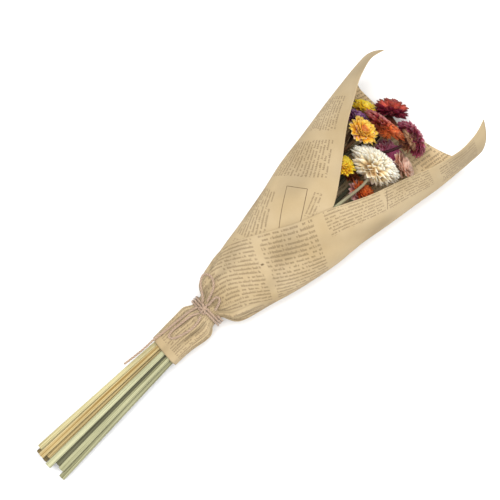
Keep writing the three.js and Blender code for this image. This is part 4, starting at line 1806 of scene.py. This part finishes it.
@dataclass
class StalkBundle:
    """Twelve dry ribbed stalks, packed at the tie and spread at both ends.

    rings gives each ring of slots its count, its first angle and its radius. bundle gives the
    bundle's middle, level and spread at places along it. The sections swell over the first
    part of a stalk and taper over its last part.
    """

    radius: float = 0.00204
    slot_radius: float = 0.00236
    rings: tuple = ((3, 30, 1.16), (9, 10, 3.04))
    low_slot: float = -0.003
    ribs: float = 15.0
    rib_depth: float = 0.09
    sides: int = 60
    step: float = 0.005
    route_steps: int = 24
    seat_gap: float = 0.0003
    seat_reach: float = 0.014
    swell: float = 1.3
    swell_part: float = 0.4
    taper: float = 0.56
    taper_part: float = 0.5
    bundle: tuple = (
        (-0.320, 0.0041, 0.00895, 2.0),
        (-0.205, 0.0030, 0.0180, 1.3),
        (-0.160, 0.0017, 0.0219, 1.0),
        (-0.146, 0.0015, 0.0221, 1.0),
    )
    routes: tuple = (
        # tones below 1 are mostly painted shade on the stalks that lie deep in the bundle, and partly their
        # own colour
        StalkRoute("cream_white", 5, (-0.080, -0.003, 0.045), "stalk_straw", "stalk_pale", 0.9),
        StalkRoute("lemon_yellow", 0, (-0.057, -0.005, 0.031), "stalk_gold", "stalk_gold"),
        StalkRoute("golden_orange", 3, (-0.036, 0.017, 0.027), "stalk_gold", "stalk_straw"),
        StalkRoute("purple", 4, (-0.046, 0.008, 0.027), "stalk_straw", "stalk_gold"),
        StalkRoute("second_yellow", 10, (-0.026, 0.004, 0.007), "stalk_straw", "stalk_brown", 0.62),
        StalkRoute("crimson", 2, (-0.026, 0.014, 0.020), "stalk_green", "stalk_green", 0.32),
        StalkRoute("coral_red", 9, (-0.048, 0.0, 0.017), "stalk_green", "stalk_green", 0.36),
        StalkRoute("maroon", 11, (-0.022, 0.016, 0.016), "stalk_straw", "stalk_brown", 0.62),
        StalkRoute("magenta_pink", 8, (-0.028, -0.009, 0.007), "stalk_straw", "stalk_pale", 0.38),
        StalkRoute("pale_pink", 7, (-0.032, -0.016, 0.010), "stalk_green", "stalk_green", 0.85),
        StalkRoute("rust_pink", 6, (-0.062, -0.015, 0.019), "stalk_green", "stalk_green"),
        StalkRoute("brown_rust", 1, (-0.066, -0.006, 0.016), "stalk_straw", "stalk_pale", 0.34),
    )
    finishes: tuple = (
        StalkFinish("stalk_pale", srgb("c4c39c"), srgb("8a8862"), srgb("d6d2a8"), near_head=srgb("9a9074")),
        StalkFinish("stalk_straw", srgb("cfc493"), srgb("98895a"), srgb("ded5aa")),
        StalkFinish("stalk_gold", srgb("cab37e"), srgb("8e7038"), srgb("d8c798")),
        StalkFinish("stalk_brown", srgb("b09a68"), srgb("7a6236"), srgb("c4b080"), near_head=srgb("4a2026")),
        StalkFinish("stalk_green", srgb("b2b08a"), srgb("74724e"), srgb("c8c69e")),
    )

    def tree(self) -> SweepGraph:
        """The tree that sweeps a ribbed section along a line, thinner towards its end.

        Returns:
            The tree.
        """
        floats = ("Radius", "Swell", "Taper", "Ribs", "Rib Depth", "Step", "Number", "Tone")
        graph = SweepGraph("ribbed_stalk", {"Float": floats, "Int": ("Sides",)})
        given = graph.given
        rail = graph.rail()
        run = graph.along("Factor")
        lower = graph.math("MINIMUM", run / self.swell_part, 1.0)
        upper = graph.most((run - (1 - self.taper_part)) / self.taper_part, 0.0)
        size = graph.blend(lower, given["Swell"], 1.0) * graph.blend(upper, 1.0, given["Taper"])
        total = graph.term("GeometryNodeCurveLength", {0: rail})
        marks = {"to_head": total * (1.0 - run), "number": given["Number"], "tone": given["Tone"]}
        for name, value in marks.items():
            rail = graph.store(rail, name, value)
        angle = graph.along("Factor") * TURN
        crest = graph.math("COSINE", angle * given["Ribs"]) * 0.5 + 0.5
        section = graph.section(angle, given["Radius"] * (1.0 - (1.0 - crest) * given["Rib Depth"]))
        # rib is 0 in a valley and 1 on a crest; the stalk's material paints shade in the valleys from it
        marks = {"rib": crest, "side_x": graph.math("COSINE", angle), "side_y": graph.math("SINE", angle)}
        for name, value in marks.items():
            section = graph.store(section, name, value)
        # up is how far each point faces upwards, for the painted shade on the stalk's underside
        up = graph.split(graph.term("GeometryNodeInputNormal"))[2]
        graph.close(graph.store(graph.sweep(rail, section, size), "up", up))
        return graph

    def slot_place(self, slot: int) -> Span:
        """A slot's place beside and above the middle of the bundle.

        Args:
            slot: the slot's number, counted through the rings.

        Returns:
            How far it is beside and above the middle.
        """
        for count, first, reach in self.rings:
            if slot < count:
                break
            slot -= count
        angle = math.radians(first + 360 / count * slot)
        return self.slot_radius * reach * math.cos(angle), self.slot_radius * reach * math.sin(angle)

    def line(self, route: StalkRoute, head: FlowerHead) -> Array:
        """The middle line of one stalk, from its cut end to its head's seat.

        Args:
            route: the stalk's route.
            head: the head that it carries.

        Returns:
            The points of the line.
        """
        beside, above = self.slot_place(route.slot)
        points = [(x, mid + beside * wide, level + above) for x, mid, level, wide in self.bundle]
        cut_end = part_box(f"stalk_{route.head}")[0].x
        points[0] = (cut_end, *points[0][1:])
        faces = Vector(head.faces).normalized()
        seat = Vector(head.middle) - faces * (0.5 * head.radius * head.flat + self.seat_gap)
        points += [route.via, tuple(seat - faces * self.seat_reach), tuple(seat)]
        return catmull_rom(points, self.route_steps)

    def build(self, heads: tuple) -> None:
        """Makes the twelve stalks.

        Args:
            heads: the flower heads that they end at.
        """
        tree = self.tree()
        materials = {finish.name: finish.material() for finish in self.finishes}
        by_name = {head.name: head for head in heads}
        for route in self.routes:
            stalk = lines_in_scene(f"dry_stalk_{route.head}", [self.line(route, by_name[route.head])])
            lowest = self.slot_place(route.slot)[1] < self.low_slot
            tree.use(stalk, {
                "Radius": self.radius,
                "Swell": 1.0 if lowest else self.swell,
                "Taper": self.taper,
                "Ribs": self.ribs,
                "Rib Depth": self.rib_depth,
                "Sides": self.sides,
                "Step": self.step,
                "Number": float(route.slot),
                "Tone": route.tone,
                "Material": materials[route.finish],
            })
            hand_over(settle(stalk), f"stalk_{route.head}")


def build_heads() -> None:
    """Grows the twelve flower heads, then removes the bracts that they were grown from."""
    growth = BractSpiral().tree()
    blades = {shape: shape.value.build(f"bract_{shape.name.lower()}") for shape in BladeShape}
    materials: dict = {}
    for seed, head in enumerate(HEADS):
        head.build(growth, blades, materials, seed)
    for blade in blades.values():
        bpy.data.objects.remove(blade)


def main() -> None:
    """Builds the camera, the cords, the other pieces and the studio, in that order."""
    logging.basicConfig(level=logging.INFO, format="%(message)s")
    PhotoCamera().build()
    Twine().build()
    PaperWrap().build()
    StalkBundle().build(HEADS)
    build_heads()
    Studio().build()


if __name__ == "__main__":
    main()
